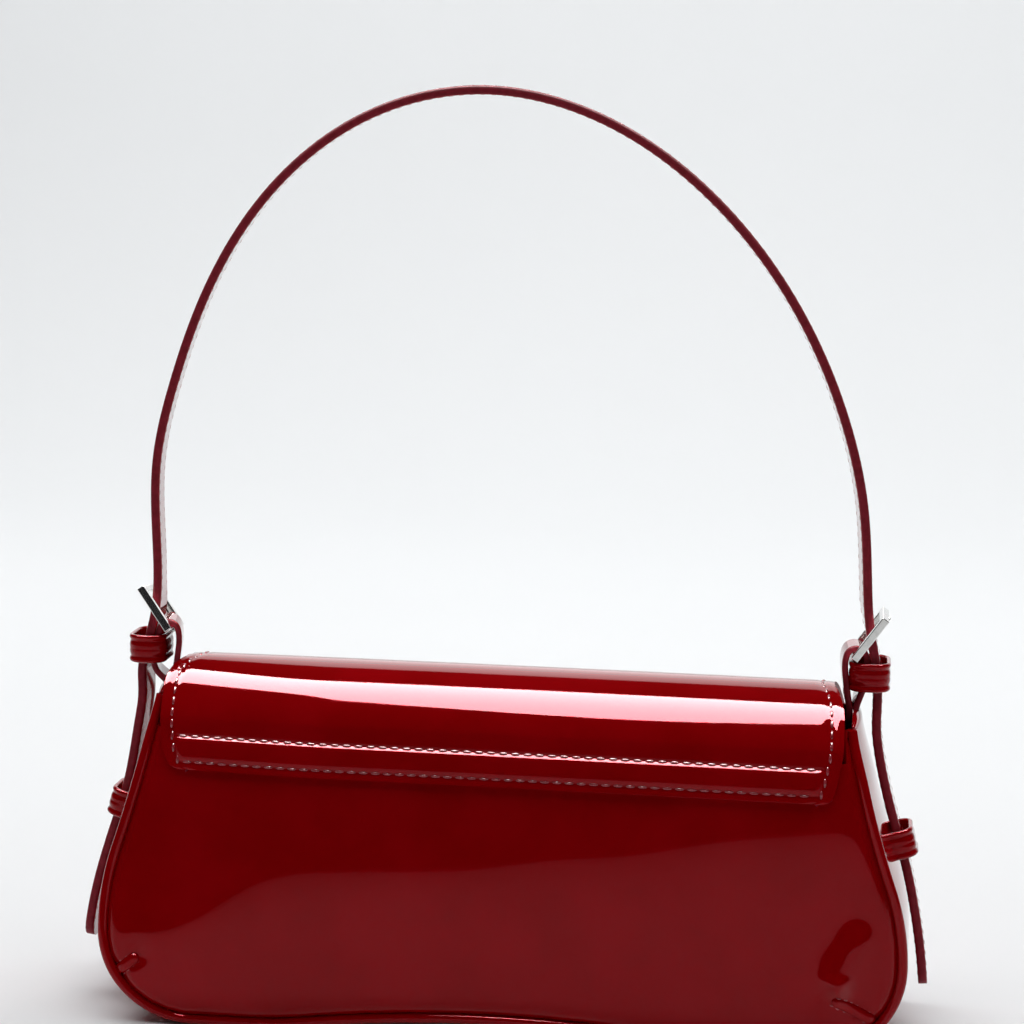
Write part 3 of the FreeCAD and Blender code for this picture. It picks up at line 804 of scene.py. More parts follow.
@dataclass
class BagForm:
    """Outline of the bag seen square on and the fullness of its sides, in millimetres."""

    half_width: float = 134.5
    corner: float = 32.0
    seat: float = 18.5
    lobe: float = 22.0
    arch: float = 7.5
    hip: float = 83.0
    hip_turn: float = 19.0
    waist: float = 333.0
    top: float = 108.0
    panel_top: float = 98.0
    belly_height: float = 29.0
    belly_radius: float = 270.0
    back_depth: float = 38.0
    front_depth: float = 35.0
    puff: float = 2.2
    pinch: float = 2.6
    shift: float = 1.2
    skew: float = 3.1
    lift: float = 1.3
    flank: float = 4.4
    ear_draw: float = 0.8
    edge: Line = field(init=False)
    tree: kdtree.KDTree = field(init=False)

    def __post_init__(self) -> None:
        """Draws the outline and prepares the search for its nearest point."""
        right = self._half()
        left = [(-x, z) for x, z in reversed(right[1:])]
        self.edge = Line(left + right, curved=False)
        self.tree = kdtree.KDTree(len(self.edge.points))
        for number, (x, z) in enumerate(self.edge.points):
            self.tree.insert((x, 0, z), number)
        self.tree.balance()

    def _half(self) -> list[tuple[float, float]]:
        """Closely spaced points from the middle of the bottom up the right side.

        Returns:
            Pairs of place along the bag and height.
        """
        rad = math.radians(self.arch)
        hollow = self.half_width - self.corner - self.seat - self.lobe
        x, z, heading = 0.0, (hollow + self.lobe) * math.tan(rad / 2), 0.0
        points = [(x, z)]

        def turn(radius: float, angle: float) -> None:
            """An arc to the left, or to the right for a negative angle.

            Args:
                radius: of the arc.
                angle: that it turns through, in radians.
            """
            nonlocal x, z, heading
            side = math.copysign(1.0, angle)
            cx, cz = x - side * radius * math.sin(heading), z + side * radius * math.cos(heading)
            count = max(4, int(radius * abs(angle) / 0.4))
            for k in range(1, count + 1):
                h = heading + angle * k / count
                points.append((cx + side * radius * math.sin(h), cz - side * radius * math.cos(h)))
            x, z = points[-1]
            heading += angle

        turn(hollow / math.sin(rad), -rad)
        turn(self.lobe / math.sin(rad), rad)
        for k in range(1, 47):
            points.append((x + self.seat * k / 46, z))
        x, z = points[-1]
        turn(self.corner, math.pi / 2)
        turn(self.hip, math.radians(self.hip_turn))
        last = math.acos(math.cos(heading) + (self.top - z) / self.waist)
        turn(self.waist, last - heading)
        return points

    def inside(self, x: Array, z: Array) -> tuple[Array, Array]:
        """Distances from the outline, positive inside, and the nearest points on it.

        Args:
            x: places along the bag.
            z: heights.

        Returns:
            The distances, and the nearest points as pairs.
        """
        found = [self.tree.find((a, 0, b)) for a, b in zip(x, z)]
        numbers = np.array([f[1] for f in found])
        near = self.edge.points[numbers]
        inward = self.edge.left(self.edge.marks[numbers])
        offset = np.stack([x, z], -1) - near
        signs = np.where((offset * inward).sum(-1) >= 0, 1.0, -1.0)
        return signs * np.linalg.norm(offset, axis=-1), near

    def side_at(self, z: Array) -> Array:
        """Half width of the flared sides at heights above the corners."""
        upper = self.edge.points[(self.edge.points[:, 0] > 0) & (self.edge.points[:, 1] >= self.corner)]
        return np.interp(z, upper[:, 1], upper[:, 0])

    def depth(self, z: Array, facing: float) -> Array:
        """Distance of a full panel from the middle of the bag: an arc in the side view.

        Args:
            z: heights.
            facing: -1 for the back, 1 for the front.

        Returns:
            The distances.
        """
        full = self.back_depth if facing < 0 else self.front_depth
        rise = np.asarray(z, float) - self.belly_height
        return full - self.belly_radius + np.sqrt(self.belly_radius**2 - rise**2)

    def seam(self, z: Array, facing: float) -> Array:
        """Distance of a panel's seam from the middle of the bag; the ears at the top are pinched."""
        return self.depth(z, facing) - self.puff - self.pinch * smooth(z, 91, 110)

    def settle(self, points: Array) -> Array:
        """Lets soft pieces settle: the foot slides aside, the top is turned and one flank is hollow.

        Args:
            points: places on a piece as it was cut.

        Returns:
            The same places on the settled bag.
        """
        x, y, z = points.T
        foot = 1 - smooth(z, 20, 98)
        ends = self.skew * (x / 115) + self.lift * (x / 115) ** 2
        hollow = self.flank * smooth(-x, 55, 125) * smooth(z, 12, 60) * smooth(-y, 0, 26)
        drawn = self.ear_draw * smooth(z, 90, 106) * smooth(x, 112, 115)
        moved = x * (1 - 0.004 * foot) + self.shift * foot - drawn
        return np.stack([moved, y - ends * smooth(z, 28, 100) + hollow, z], -1)

    def swell(self, z: Array) -> Array:
        """How far the middle of the gusset stands out at heights."""
        return 0.45 + 1.5 * smooth(z, 8, 62)


@dataclass
class Panel:
    """The back or the front of the bag: a full sheet that is drawn in at its seams."""

    form: BagForm
    name: str
    facing: float
    sink: float = 0.0
    inset: float = 1.3
    columns: int = 260
    rows: int = 110
    ears: tuple[float, float] = (-114.6, 112.4)
    darts: tuple[tuple[float, ...], ...] = ((110.4, 21.6, 124.2, 14.2), (-120.4, 23.2, -128.0, 16.8))
    puckers: tuple[tuple[float, ...], ...] = (
        (109.0, 23, 6.0, 1.9), (112.3, 29, 6.6, 2.6), (115.4, 35.5, 6.0, 1.7), (118.2, 41, 5.5, 1.6),
    )
    crease_at: float = 112.2
    crease_half: float = 3.2
    crease_height: float = 2.2
    crease_rise: tuple[float, float] = (15.0, 27.4)
    crease_fall: tuple[float, float] = (27.9, 30.5)
    dart_draw: float = 1.2
    dart_reach: float = 3.2
    rim_flat: float = 3.3
    rim_length: float = 1.35

    def unrest(self, x: Array, z: Array) -> Array:
        """Small unevenness of soft leather.

        Args:
            x: places along the bag.
            z: heights.

        Returns:
            Offsets outwards: slow waves, and at the back puckers at the darts.
        """
        waves = 0.05 * np.sin(x / 13.0 + 0.6) * np.sin(z / 11.0 + x / 60.0)
        waves = waves + 0.10 * np.sin(x / 33.0 + z / 27.0 + 1.1)
        if self.facing > 0:
            return waves
        puckers = np.zeros_like(x)
        for at_x, at_z, wide, high in self.puckers:
            puckers = puckers + high * np.exp(-((x - at_x) ** 2 + (z - at_z) ** 2) / wide**2)
        fold = smooth(z, *self.crease_rise) - smooth(z, *self.crease_fall)
        crease = self.crease_height * bump(x, self.crease_at, self.crease_half) * fold
        return waves + puckers + crease

    def pleat(self, x: Array, z: Array) -> Array:
        """How far the darts draw the back panel in.

        Args:
            x: places along the bag.
            z: heights.

        Returns:
            Offsets outwards, none above 0.
        """
        drawn = np.zeros_like(x)
        if self.facing > 0:
            return drawn
        for ax, az, bx, bz in self.darts:
            run = np.array([bx - ax, bz - az])
            share = np.clip(((x - ax) * run[0] + (z - az) * run[1]) / (run @ run), 0, 1)
            far = np.hypot(x - ax - share * run[0], z - az - share * run[1])
            drawn = drawn - self.dart_draw * np.exp(-((far / self.dart_reach) ** 2))
        return drawn

    def depth_at(self, x: Array, z: Array) -> Array:
        """Distance of the outer face from the middle of the bag.

        Args:
            x: places along the bag.
            z: heights.

        Returns:
            The distances.
        """
        gap, _ = self.form.inside(x, z)
        drawn = 1.0 - np.exp(-np.maximum(gap - self.rim_flat, 0.0) / self.rim_length)
        seam, full = self.form.seam(z, self.facing) - 0.2, self.form.depth(z, self.facing)
        unrest = self.unrest(x, z) * smooth(gap, 3, 13) + self.pleat(x, z)
        return seam + (full - seam) * drawn + unrest - self.sink

    def face(self, x: Array, z: Array) -> Array:
        """Points of the outer face on the settled bag."""
        return self.form.settle(np.stack([x, self.facing * self.depth_at(x, z), z], -1))

    def sheet(self) -> bpy.types.Object:
        """The outer face, cut to the outline and given its depth.

        Returns:
            An open sheet that faces outwards.
        """
        sheet = Bench.grid(self.name, self.columns, self.rows)
        reach, low, top = self.form.half_width + 2, -2.0, self.form.top
        cell = 2 * reach / self.columns
        flat = Bench.places(sheet)
        x, z = flat[:, 0] * reach, low + (flat[:, 1] + 1) / 2 * (top - low)
        gap, _ = self.form.inside(x, z)
        beyond = (z > self.form.panel_top + 0.1) & (x > self.ears[0]) & (x < self.ears[1])
        Bench.drop(sheet, (gap - self.inset < -0.6 * cell) | beyond)

        def place(u: Array, v: Array) -> Array:
            """Draws the rim to the seam and gives the sheet its depth.

            Args:
                u: places across the grid, from -1 to 1.
                v: places along it, from -1 to 1.

            Returns:
                Points in millimetres.
            """
            x, z = u * reach, low + (v + 1) / 2 * (top - low)
            gap, near = self.form.inside(x, z)
            rim = (gap - self.inset < 0.5 * cell)[:, None]
            inward = np.stack([x, z], -1) - near
            inward *= (np.sign(gap) / np.maximum(np.abs(gap), 1e-6))[:, None]
            spot = np.where(rim, near + inward * self.inset, np.stack([x, z], -1))
            return self.face(spot[:, 0], spot[:, 1])

        Bench.form(sheet, place)
        if np.mean([p.normal.y for p in sheet.data.polygons]) * self.facing < 0:
            Bench.flip(sheet)
        return sheet

    def build(self, finish: Finish, thickness: float) -> bpy.types.Object:
        """Makes the panel with its thickness and finish.

        Args:
            finish: of its leather.
            thickness: in millimetres.

        Returns:
            The panel.
        """
        sheet = self.sheet()
        Bench.coat(sheet, finish)
        Bench.thicken(sheet, thickness)
        Bench.shade(sheet)
        return sheet


@dataclass
class Shell:
    """The body of the bag: panels, piping, gusset and lining."""

    form: BagForm
    bead: float = 1.68
    leather: float = 1.8
    lining_gap: float = 3.9
    lining_sink: float = 2.9
    lining_top: float = 97.5
    lining_cloth: float = 0.7
    fold_radius: float = 1.1
    fold_length: float = 0.6
    welt_half: float = 1.9
    welt_rise: float = 1.35

    def folded_edge(self) -> Line:
        """The outline with both ends turned inwards over the top.

        Returns:
            The line from one fold's end to the other's.
        """
        edge = self.form.edge
        spot, way = edge.at(edge.length), edge.ahead(edge.length)
        heading = math.atan2(way[1], way[0])
        centre = spot + self.fold_radius * np.array([-way[1], way[0]])
        fold = []
        for turn in np.linspace(0.15, 1.45, 12):
            h = heading + turn
            fold.append(centre + self.fold_radius * np.array([math.sin(h), -math.cos(h)]))
        last = fold[-1]
        for step in np.linspace(0.15, 1.0, 8) * self.fold_length:
            fold.append(last + step * np.array([math.cos(h), math.sin(h)]))
        right = np.array(fold)
        left = right[::-1] * (-1, 1)
        return Line(np.concatenate([left, edge.points, right]), curved=False)

    def strip_place(self, edge: Line, inset: float, share: float) -> Placing:
        """How a strip runs round the bag between the panels.

        Args:
            edge: line that it follows.
            inset: how far it lies inside the line.
            share: how much of the gusset's swell it has.

        Returns:
            A function that places the strip's points.
        """

        def place(u: Array, v: Array) -> Array:
            """Follows the line and stands out in its middle.

            Args:
                u: places across the grid, from -1 to 1.
                v: places along it, from -1 to 1.

            Returns:
                Points in millimetres.
            """
            s = (v + 1) / 2 * edge.length
            spot, out = edge.at(s), -edge.left(s)
            back = self.form.seam(spot[:, 1], -1) - 1.0 - inset / 4
            front = self.form.seam(spot[:, 1], 1) - 1.0 - inset / 4
            y = np.where(u < 0, u * back, u * front)
            stand = share * self.form.swell(spot[:, 1]) * (1 - u**2) - inset
            spot = spot + out * stand[:, None]
            return self.form.settle(np.stack([spot[:, 0], y, spot[:, 1]], -1))

        return place

    def gusset(self) -> bpy.types.Object:
        """The side strip that runs round the bag between the panels, with its ends turned in.

        Returns:
            The strip.
        """
        sheet = Bench.grid("gusset_strip", 30, 500)
        Bench.form(sheet, self.strip_place(self.folded_edge(), 0.55, 1.0))
        if sheet.data.polygons[len(sheet.data.polygons) // 2].normal.z > 0:
            Bench.flip(sheet)
        Bench.coat(sheet, PATENT, EDGE)
        Bench.thicken(sheet, self.leather, rim=1)
        Bench.round_edges(sheet, 0.4)
        Bench.shade(sheet)
        return sheet

    def piping(self, name: str, facing: float) -> bpy.types.Object:
        """A round bead along one seam.

        Args:
            name: of the piece.
            facing: -1 for the back, 1 for the front.

        Returns:
            The bead.
        """
        edge = self.form.edge
        tube = Bench.grid(name, 20, 520)

        def place(u: Array, v: Array) -> Array:
            """Rolls the grid into a tube.

            Args:
                u: places across the grid, from -1 to 1.
                v: places along it, from -1 to 1.

            Returns:
                Points in millimetres.
            """
            s = (v + 1) / 2 * edge.length
            turn = u * math.pi
            out = -edge.left(s)
            core = edge.at(s) - out * (self.bead + 0.02)
            spot = core + out * (self.bead * np.cos(turn))[:, None]
            y = facing * (self.form.seam(core[:, 1], facing) + 0.3) + self.bead * np.sin(turn)
            return self.form.settle(np.stack([spot[:, 0], y, spot[:, 1]], -1))

        Bench.form(tube, place)
        Bench.mend(tube, caps=True)
        Bench.coat(tube, PATENT)
        Bench.shade(tube)
        return tube

    def lining(self) -> bpy.types.Object:
        """A cloth tub inside the leather, open at the top.

        Returns:
            The tub.
        """
        inner = BagForm(top=self.lining_top, panel_top=self.lining_top, ear_draw=0.0)
        strip = Bench.grid("lining_strip", 20, 300)
        Bench.form(strip, self.strip_place(inner.edge, self.lining_gap, 0.4))
        walls = [strip]
        for facing in (-1.0, 1.0):
            wall = Panel(
                inner, "lining_wall", facing, sink=self.lining_sink, inset=self.lining_gap,
                columns=120, rows=50,
            )
            walls.append(wall.sheet())
        tub = Bench.joined("lining_tub", walls)
        Bench.mend(tub)
        Bench.coat(tub, TWILL)
        Bench.thicken(tub, self.lining_cloth)
        Bench.shade(tub)
        return tub

    def dart(self, panel: Panel, side: Side) -> list[bpy.types.Object]:
        """A short stitched tuck at a lower corner of the back.

        Args:
            panel: the back panel.
            side: end of the bag.

        Returns:
            The raised welt and its stitches.
        """
        ax, az, bx, bz = panel.darts[0 if side is Side.RIGHT else 1]
        surface = Surface(panel.face)
        run = np.array([bx - ax, bz - az])
        length = float(np.hypot(*run))
        welt = Bench.grid(f"{side.word}_dart_welt", 20, 36)

        def spots(share: Array) -> tuple[Array, Array, Array]:
            """Points along the tuck with their directions along it and out of the leather.

            Args:
                share: shares of the tuck's length.

            Returns:
                Points, directions along, directions out.
            """
            here, du, dv, out = surface.spot(ax + share * run[0], az + share * run[1], 0.3)
            out = out * np.where(out[:, 1:2] > 0, -1.0, 1.0)
            along = du * run[0] + dv * run[1]
            return here, along / np.linalg.norm(along, axis=-1, keepdims=True), out

        def place(u: Array, v: Array) -> Array:
            """Rolls a flattened tube that is rounded off at its ends.

            Args:
                u: places across the grid, from -1 to 1.
                v: places along it, from -1 to 1.

            Returns:
                Points in millimetres.
            """
            share = (v + 1) / 2
            here, along, out = spots(share)
            near = np.clip(np.minimum(share, 1 - share) * length / self.welt_half, 0.02, 1)
            blunt = np.sqrt(1 - (1 - near) ** 2)
            turn = u * math.pi
            across = (self.welt_half * blunt * np.cos(turn))[:, None] * np.cross(out, along)
            return here + across + ((0.1 + self.welt_rise * blunt) * np.sin(turn))[:, None] * out

        Bench.form(welt, place)
        Bench.mend(welt, caps=True)
        Bench.coat(welt, PATENT)
        Bench.shade(welt)
        share = np.arange(1.2, length - 1.0, 2.3) / length
        here, along, out = spots(np.concatenate([share, share]))
        sides = np.repeat([-1.0, 1.0], len(share))[:, None]
        aside = sides * (self.welt_half + 0.25) * np.cross(out, along)
        stitcher = Stitcher(length=1.9, radius=0.36, stand=0.08)
        sewn = stitcher.sew(f"{side.word}_dart_stitches", here + aside, along, out)
        return [welt, sewn]

    def build(self) -> None:
        """Makes the body and lets it ride."""
        for side in Side:
            for piece in self.dart(Panel(self.form, "back_leather", -1.0), side):
                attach(piece, "bag_body")
                LOG.info("%s on the back panel", piece.name)
        pieces = [
            (Panel(self.form, "back_leather", -1.0).build(PATENT, self.leather), "back_panel"),
            (Panel(self.form, "front_leather", 1.0).build(PATENT, self.leather), "front_panel"),
            (self.gusset(), "gusset"),
            (self.piping("back_bead", -1.0), "back_piping"),
            (self.piping("front_bead", 1.0), "front_piping"),
            (self.lining(), "lining"),
        ]
        for piece, node in pieces:
            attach(piece, "bag_body")
            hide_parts(node)
            "lining_fabric" if node == "lining" else "patent_leather"
            LOG.info("%s stands for %s", piece.name, node)


class Stitcher:
    """Sews rows: one stitch is modelled, and copies of it are laid along a line."""

    def __init__(self, length: float, radius: float, stand: float) -> None:
        """Models the stitch.

        Args:
            length: of one stitch, in millimetres.
            radius: half its width.
            stand: how far it stands out of the leather.
        """
        bpy.ops.object.select_all(action="DESELECT")
        bpy.ops.mesh.primitive_uv_sphere_add(segments=8, ring_count=7, radius=1.0)
        ball = bpy.context.object
        shape = Bench.places(ball)
        self.faces = [tuple(p.vertices) for p in ball.data.polygons]
        bpy.data.objects.remove(ball)
        plump = np.sign(shape[:, 2]) * np.abs(shape[:, 2]) ** 0.8
        bow = 1 - plump**2
        high = shape[:, 1] * radius + stand * bow
        self.shape = np.stack([plump * length / 2, shape[:, 0] * radius, high], -1)

    def sew(self, name: str, spots: Array, along: Array, out: Array) -> bpy.types.Object:
        """Lays copies of the stitch.

        Args:
            name: of the new piece.
            spots: where the middles of the stitches are, in millimetres.
            along: directions of the row there.
            out: directions out of the leather there.

        Returns:
            One piece with all stitches of the row.
        """
        aside = np.cross(out, along)
        shape = self.shape
        points = spots[:, None, :] + shape[None, :, 0:1] * along[:, None, :]
        points = points + shape[None, :, 1:2] * aside[:, None, :]
        points = points + shape[None, :, 2:3] * out[:, None, :]
        count = len(shape)
        faces = [tuple(k * count + i for i in f) for k in range(len(spots)) for f in self.faces]
        mesh = bpy.data.meshes.new(name)
        mesh.from_pydata((points.reshape(-1, 3) * MM).tolist(), [], faces)
        obj = bpy.data.objects.new(name, mesh)
        bpy.context.scene.collection.objects.link(obj)
        Bench.coat(obj, THREAD)
        Bench.shade(obj, 80)
        return obj


@dataclass
class Surface:
    """A curved sheet that is given by a function of its two coordinates."""

    place: Placing

    def spot(self, u: Array, v: Array, step: float = 1e-3) -> tuple[Array, Array, Array, Array]:
        """Points of the sheet with their directions.

        Args:
            u: first coordinates.
            v: second coordinates.
            step: how far apart the points are that give directions.

        Returns:
            Points, directions along u, directions along v, and directions out of the sheet.
        """
        here = self.place(u, v)
        du = self.place(u + step, v) - self.place(u - step, v)
        dv = self.place(u, v + step) - self.place(u, v - step)
        du /= np.linalg.norm(du, axis=-1, keepdims=True)
        dv /= np.linalg.norm(dv, axis=-1, keepdims=True)
        out = np.cross(du, dv)
        out /= np.linalg.norm(out, axis=-1, keepdims=True)
        return here, du, dv, out


@dataclass
class Flap:
    """One sheet that is sewn to the back, runs over the top and hangs down the front."""

    form: BagForm
    leather: float = 2.2
    tail_edge: float = 85.5
    seam_height: float = 97.0
    crown: float = 119.2
    front_edge: float = 38.0
    snap_room: float = 2.75
    seam_rows: tuple[float, float] = (96.2, 88.0)
    hem: float = 4.0
    corner: float = 22.0
    stitch_pitch: float = 4.0
    tail_corner: float = 2.5
    swell: float = 0.95
    strip_rise: float = 0.8
    row_ditch: float = 0.25
    lip: float = 0.3
    hem_ditch: float = 0.4
    hem_thin: float = 0.3
    left_half: tuple[tuple[float, float], ...] = (
        (85.5, 109.4), (88.6, 111.4), (93, 113.0), (97, 113.6), (103, 114.0), (109, 114.1),
        (113, 114.2), (115.6, 113.6), (117.4, 112.4), (118.5, 111.0), (119.2, 109.0),
    )
    right_half: tuple[tuple[float, float], ...] = (
        (85.5, 108.6), (90, 110.0), (97, 111.5), (101, 112.2), (108, 112.3), (113, 112.0),
        (115.6, 111.4), (117.4, 110.5), (118.5, 109.6), (119.2, 108.2),
    )
    front_half: tuple[tuple[float, float], ...] = (
        (38, 103.6), (60, 105.4), (80, 108.6), (95, 111.4), (103, 112.3), (110, 111.2),
        (116, 109.6), (119.2, 108.4),
    )
    side_view: Line = field(init=False)

    def __post_init__(self) -> None:
        """Draws the side view: up the back, over a round top and down along the front."""
        form, low = self.form, self.form.belly_height
        back = form.belly_radius + self.leather + 0.3
        back_y = -(form.back_depth - form.belly_radius)
        lean = math.asin((self.seam_height - low) / back)
        points = []
        for turn in np.linspace(math.asin((self.tail_edge - low) / back), lean, 40):
            points.append((back_y - back * math.cos(turn), low + back * math.sin(turn)))
        arch = (self.crown - self.seam_height) / (1 - math.sin(lean))
        top_y = points[-1][0] + arch * math.cos(lean)
        for turn in np.linspace(lean, math.pi / 2, 120)[1:]:
            points.append((top_y - arch * math.cos(turn), self.crown - arch + arch * math.sin(turn)))
        front = form.belly_radius + self.leather + self.snap_room
        front_y = form.front_depth - form.belly_radius
        far, high = top_y - front_y, self.crown - low
        round_off = (far**2 + high**2 - front**2) / (2 * (high - front))
        meet = math.atan2(high - round_off, far)
        for turn in np.linspace(math.pi / 2, meet, 120)[1:]:
            z = self.crown - round_off + round_off * math.sin(turn)
            points.append((top_y + round_off * math.cos(turn), z))
        for turn in np.linspace(meet, math.asin((self.front_edge - low) / front), 120)[1:]:
            points.append((front_y + front * math.cos(turn), low + front * math.sin(turn)))
        self.side_view = Line(self._eased(points), curved=False)

    @staticmethod
    def _eased(points: Sequence[Sequence[float]], reach: float = 3.0) -> Array:
        """The same line with its changes of bend eased over a few millimetres.

        Args:
            points: pairs of coordinates.
            reach: how far the easing goes.

        Returns:
            The new points.
        """
        line = Line(points, curved=False)
        s = np.arange(0.0, line.length, 0.25)
        spread = np.arange(-4 * reach, 4 * reach + 0.1, 0.25)
        weight = np.exp(-((spread / reach) ** 2) / 2)
        first, last = line.ahead(0.0), line.ahead(line.length)
        total = np.zeros((len(s), 2))
        for offset, share in zip(spread, weight / weight.sum()):
            at = s + offset
            spot = line.at(at)
            spot = spot + np.minimum(at, 0)[:, None] * first
            spot = spot + np.maximum(at - line.length, 0)[:, None] * last
            total += share * spot
        return total

    def half_at(self, s: Array, side: Array | float = 1.0) -> Array:
        """Half width at distances along the sheet, with small round corners at its tail.

        Args:
            s: distances along the sheet.
            side: negative for the left half, which hangs a little further out.

        Returns:
            The half widths there.
        """
        s = np.clip(np.asarray(s, float), 0, self.side_view.length)
        spot = self.side_view.at(s)
        outlines = (self.left_half, self.right_half, self.front_half)
        lines = [Line(points, fine=8).points for points in outlines]
        lefts, rights, fronts = (np.interp(spot[:, 1], points[:, 0], points[:, 1]) for points in lines)
        backs = np.where(np.asarray(side) < 0, lefts, rights)
        half = np.where(spot[:, 0] < self.form.back_depth * -0.06, backs, fronts)
        short = np.clip(self.tail_corner - s, 0, self.tail_corner)
        return half - self.tail_corner + np.sqrt(self.tail_corner**2 - short**2)

    def relief(self, z: Array, y: Array, gap: Array) -> Array:
        """How far the outer face stands out, at rows and at the puffed strip between them.

        Args:
            z: heights.
            y: depths.
            gap: distances from the side edges.

        Returns:
            Offsets out of the sheet.
        """
        back = (y < 0) & (z < 104)
        high, low = self.seam_rows
        middle, reach = (high + low) / 2, (high - low) / 2
        share = np.clip((z - middle) / reach, -1, 1)
        within = smooth(gap, self.hem - 0.6, self.hem + 2.5)
        strip = self.strip_rise * (1 - np.abs(share) ** 5) * within
        ditch = -self.row_ditch * (bump(z, high, 0.6) + bump(z, low, 0.6)) * within
        swell = self.swell * smooth(z, high, high + 6.5)
        lip = self.lip * smooth(low - z, 0.3, 1.6)
        stand = np.where(back, strip + ditch + swell + lip, self.swell)
        hem = -self.hem_ditch * bump(gap, self.hem, 0.8)
        hem = hem - self.hem_thin * (1 - smooth(gap, 0.0, self.hem))
        return stand + hem

    def spread(self, u: Array, v: Array) -> tuple[Array, Array]:
        """Places on the flat sheet, drawn in round the two front corners.

        Args:
            u: runs across from -1 to 1.
            v: runs along from -1 to 1.

        Returns:
            Distances from the middle line, and along the sheet.
        """
        share = (np.asarray(v, float) + 1) / 2
        s = (share - 0.05 * np.sin(2 * math.pi * share)) * self.side_view.length
        x = np.abs(u) * self.half_at(s, u)
        across = np.clip(1 - (self.half_at(s, u) - x) / self.corner, 0, 1)
        along = np.clip(1 - (self.side_view.length - s) / self.corner, 0, 1)
        x = x - self.corner * across * (1 - np.sqrt(1 - along**2 / 2))
        return np.sign(u) * x, s - self.corner * along * (1 - np.sqrt(1 - across**2 / 2))

    def point(self, x: Array, s: Array) -> Array:
        """Points of the outer face.

        Args:
            x: distances from the middle line.
            s: distances along the sheet.

        Returns:
            The points on the settled bag.
        """
        spot, out = self.side_view.at(s), self.side_view.left(s)
        beside, below = self.half_at(s, x) - np.abs(x), self.side_view.length - s
        gap = np.minimum(beside, below)
        turned = np.hypot(np.maximum(self.corner - beside, 0), np.maximum(self.corner - below, 0))
        gap = np.where(np.maximum(beside, below) < self.corner, self.corner - turned, gap)
        stand = self.relief(spot[:, 1], spot[:, 0], gap) - self.swell
        spot = spot + out * stand[:, None]
        return self.form.settle(np.stack([x, spot[:, 0], spot[:, 1]], -1))

    def place(self, u: Array, v: Array) -> Array:
        """Where a point of the grid comes to lie."""
        return self.point(*self.spread(u, v))

    def sew(self) -> bpy.types.Object:
        """Stitches along the two seam rows, the sides, the corners and the front edge.

        Returns:
            One piece with all the flap's stitches.
        """
        surface = Surface(self.point)
        stitcher = Stitcher(length=3.0, radius=0.52, stand=0.12)
        view, pitch = self.side_view, self.stitch_pitch
        heights = view.points[:, 1]
        rows = []
        for height in self.seam_rows:
            s = np.interp(height, heights[:150], view.marks[:150])
            half = float(self.half_at(np.array([s]))[0]) - self.hem - 1.5
            x = np.arange(-half, half, pitch)
            rows.append((x, np.full_like(x, s), Way.ACROSS))
        start, bend = view.length - self.corner, self.corner - self.hem
        s = np.arange(3.0, start, pitch)
        turn = np.arange(s[-1] + pitch - start, bend * 1.5, pitch) / bend
        low = start + bend * np.sin(turn)
        for side in (-1, 1):
            rows.append((side * (self.half_at(s, side) - self.hem), s, Way.ALONG))
            bent = self.half_at(low) - self.corner + bend * np.cos(turn)
            rows.append((side * bent, low, Way.ROUND))
        half = self.front_half[0][1] - self.corner
        x = np.arange(-half, half, pitch)
        rows.append((x, np.full_like(x, view.length - self.hem), Way.ACROSS))
        spots, along, out = [], [], []
        for x, s, way in rows:
            here, du, dv, normal = surface.spot(x, s, 0.02)
            runs = {Way.ACROSS: du, Way.ALONG: dv, Way.ROUND: np.gradient(here, axis=0)}
            spots.append(here)
            along.append(runs[way])
            out.append(normal)
        normals = np.concatenate(out)
        if normals[0, 1] > 0:
            normals = -normals
        ways = np.concatenate(along)
        ways -= normals * (ways * normals).sum(-1, keepdims=True)
        ways /= np.linalg.norm(ways, axis=-1, keepdims=True)
        return stitcher.sew("flap_stitches", np.concatenate(spots), ways, normals)

    def build(self) -> None:
        """Makes the flap and its stitches."""
        sheet = Bench.grid("flap_leather", 180, 236)
        Bench.form(sheet, self.place)
        at_tail = sheet.data.polygons[100]
        if at_tail.normal.y > 0:
            Bench.flip(sheet)
        Bench.coat(sheet, PATENT, EDGE, TWILL)
        Bench.thicken(sheet, self.leather, rim=1, under=2)
        Bench.round_edges(sheet, 0.55)
        Bench.shade(sheet)
        stitches = self.sew()
        for piece in (sheet, stitches):
            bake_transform(piece)
        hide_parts("flap_tail", "flap_shell", "flap_lining")
        LOG.info("flap with %d stitch points", len(stitches.data.vertices))


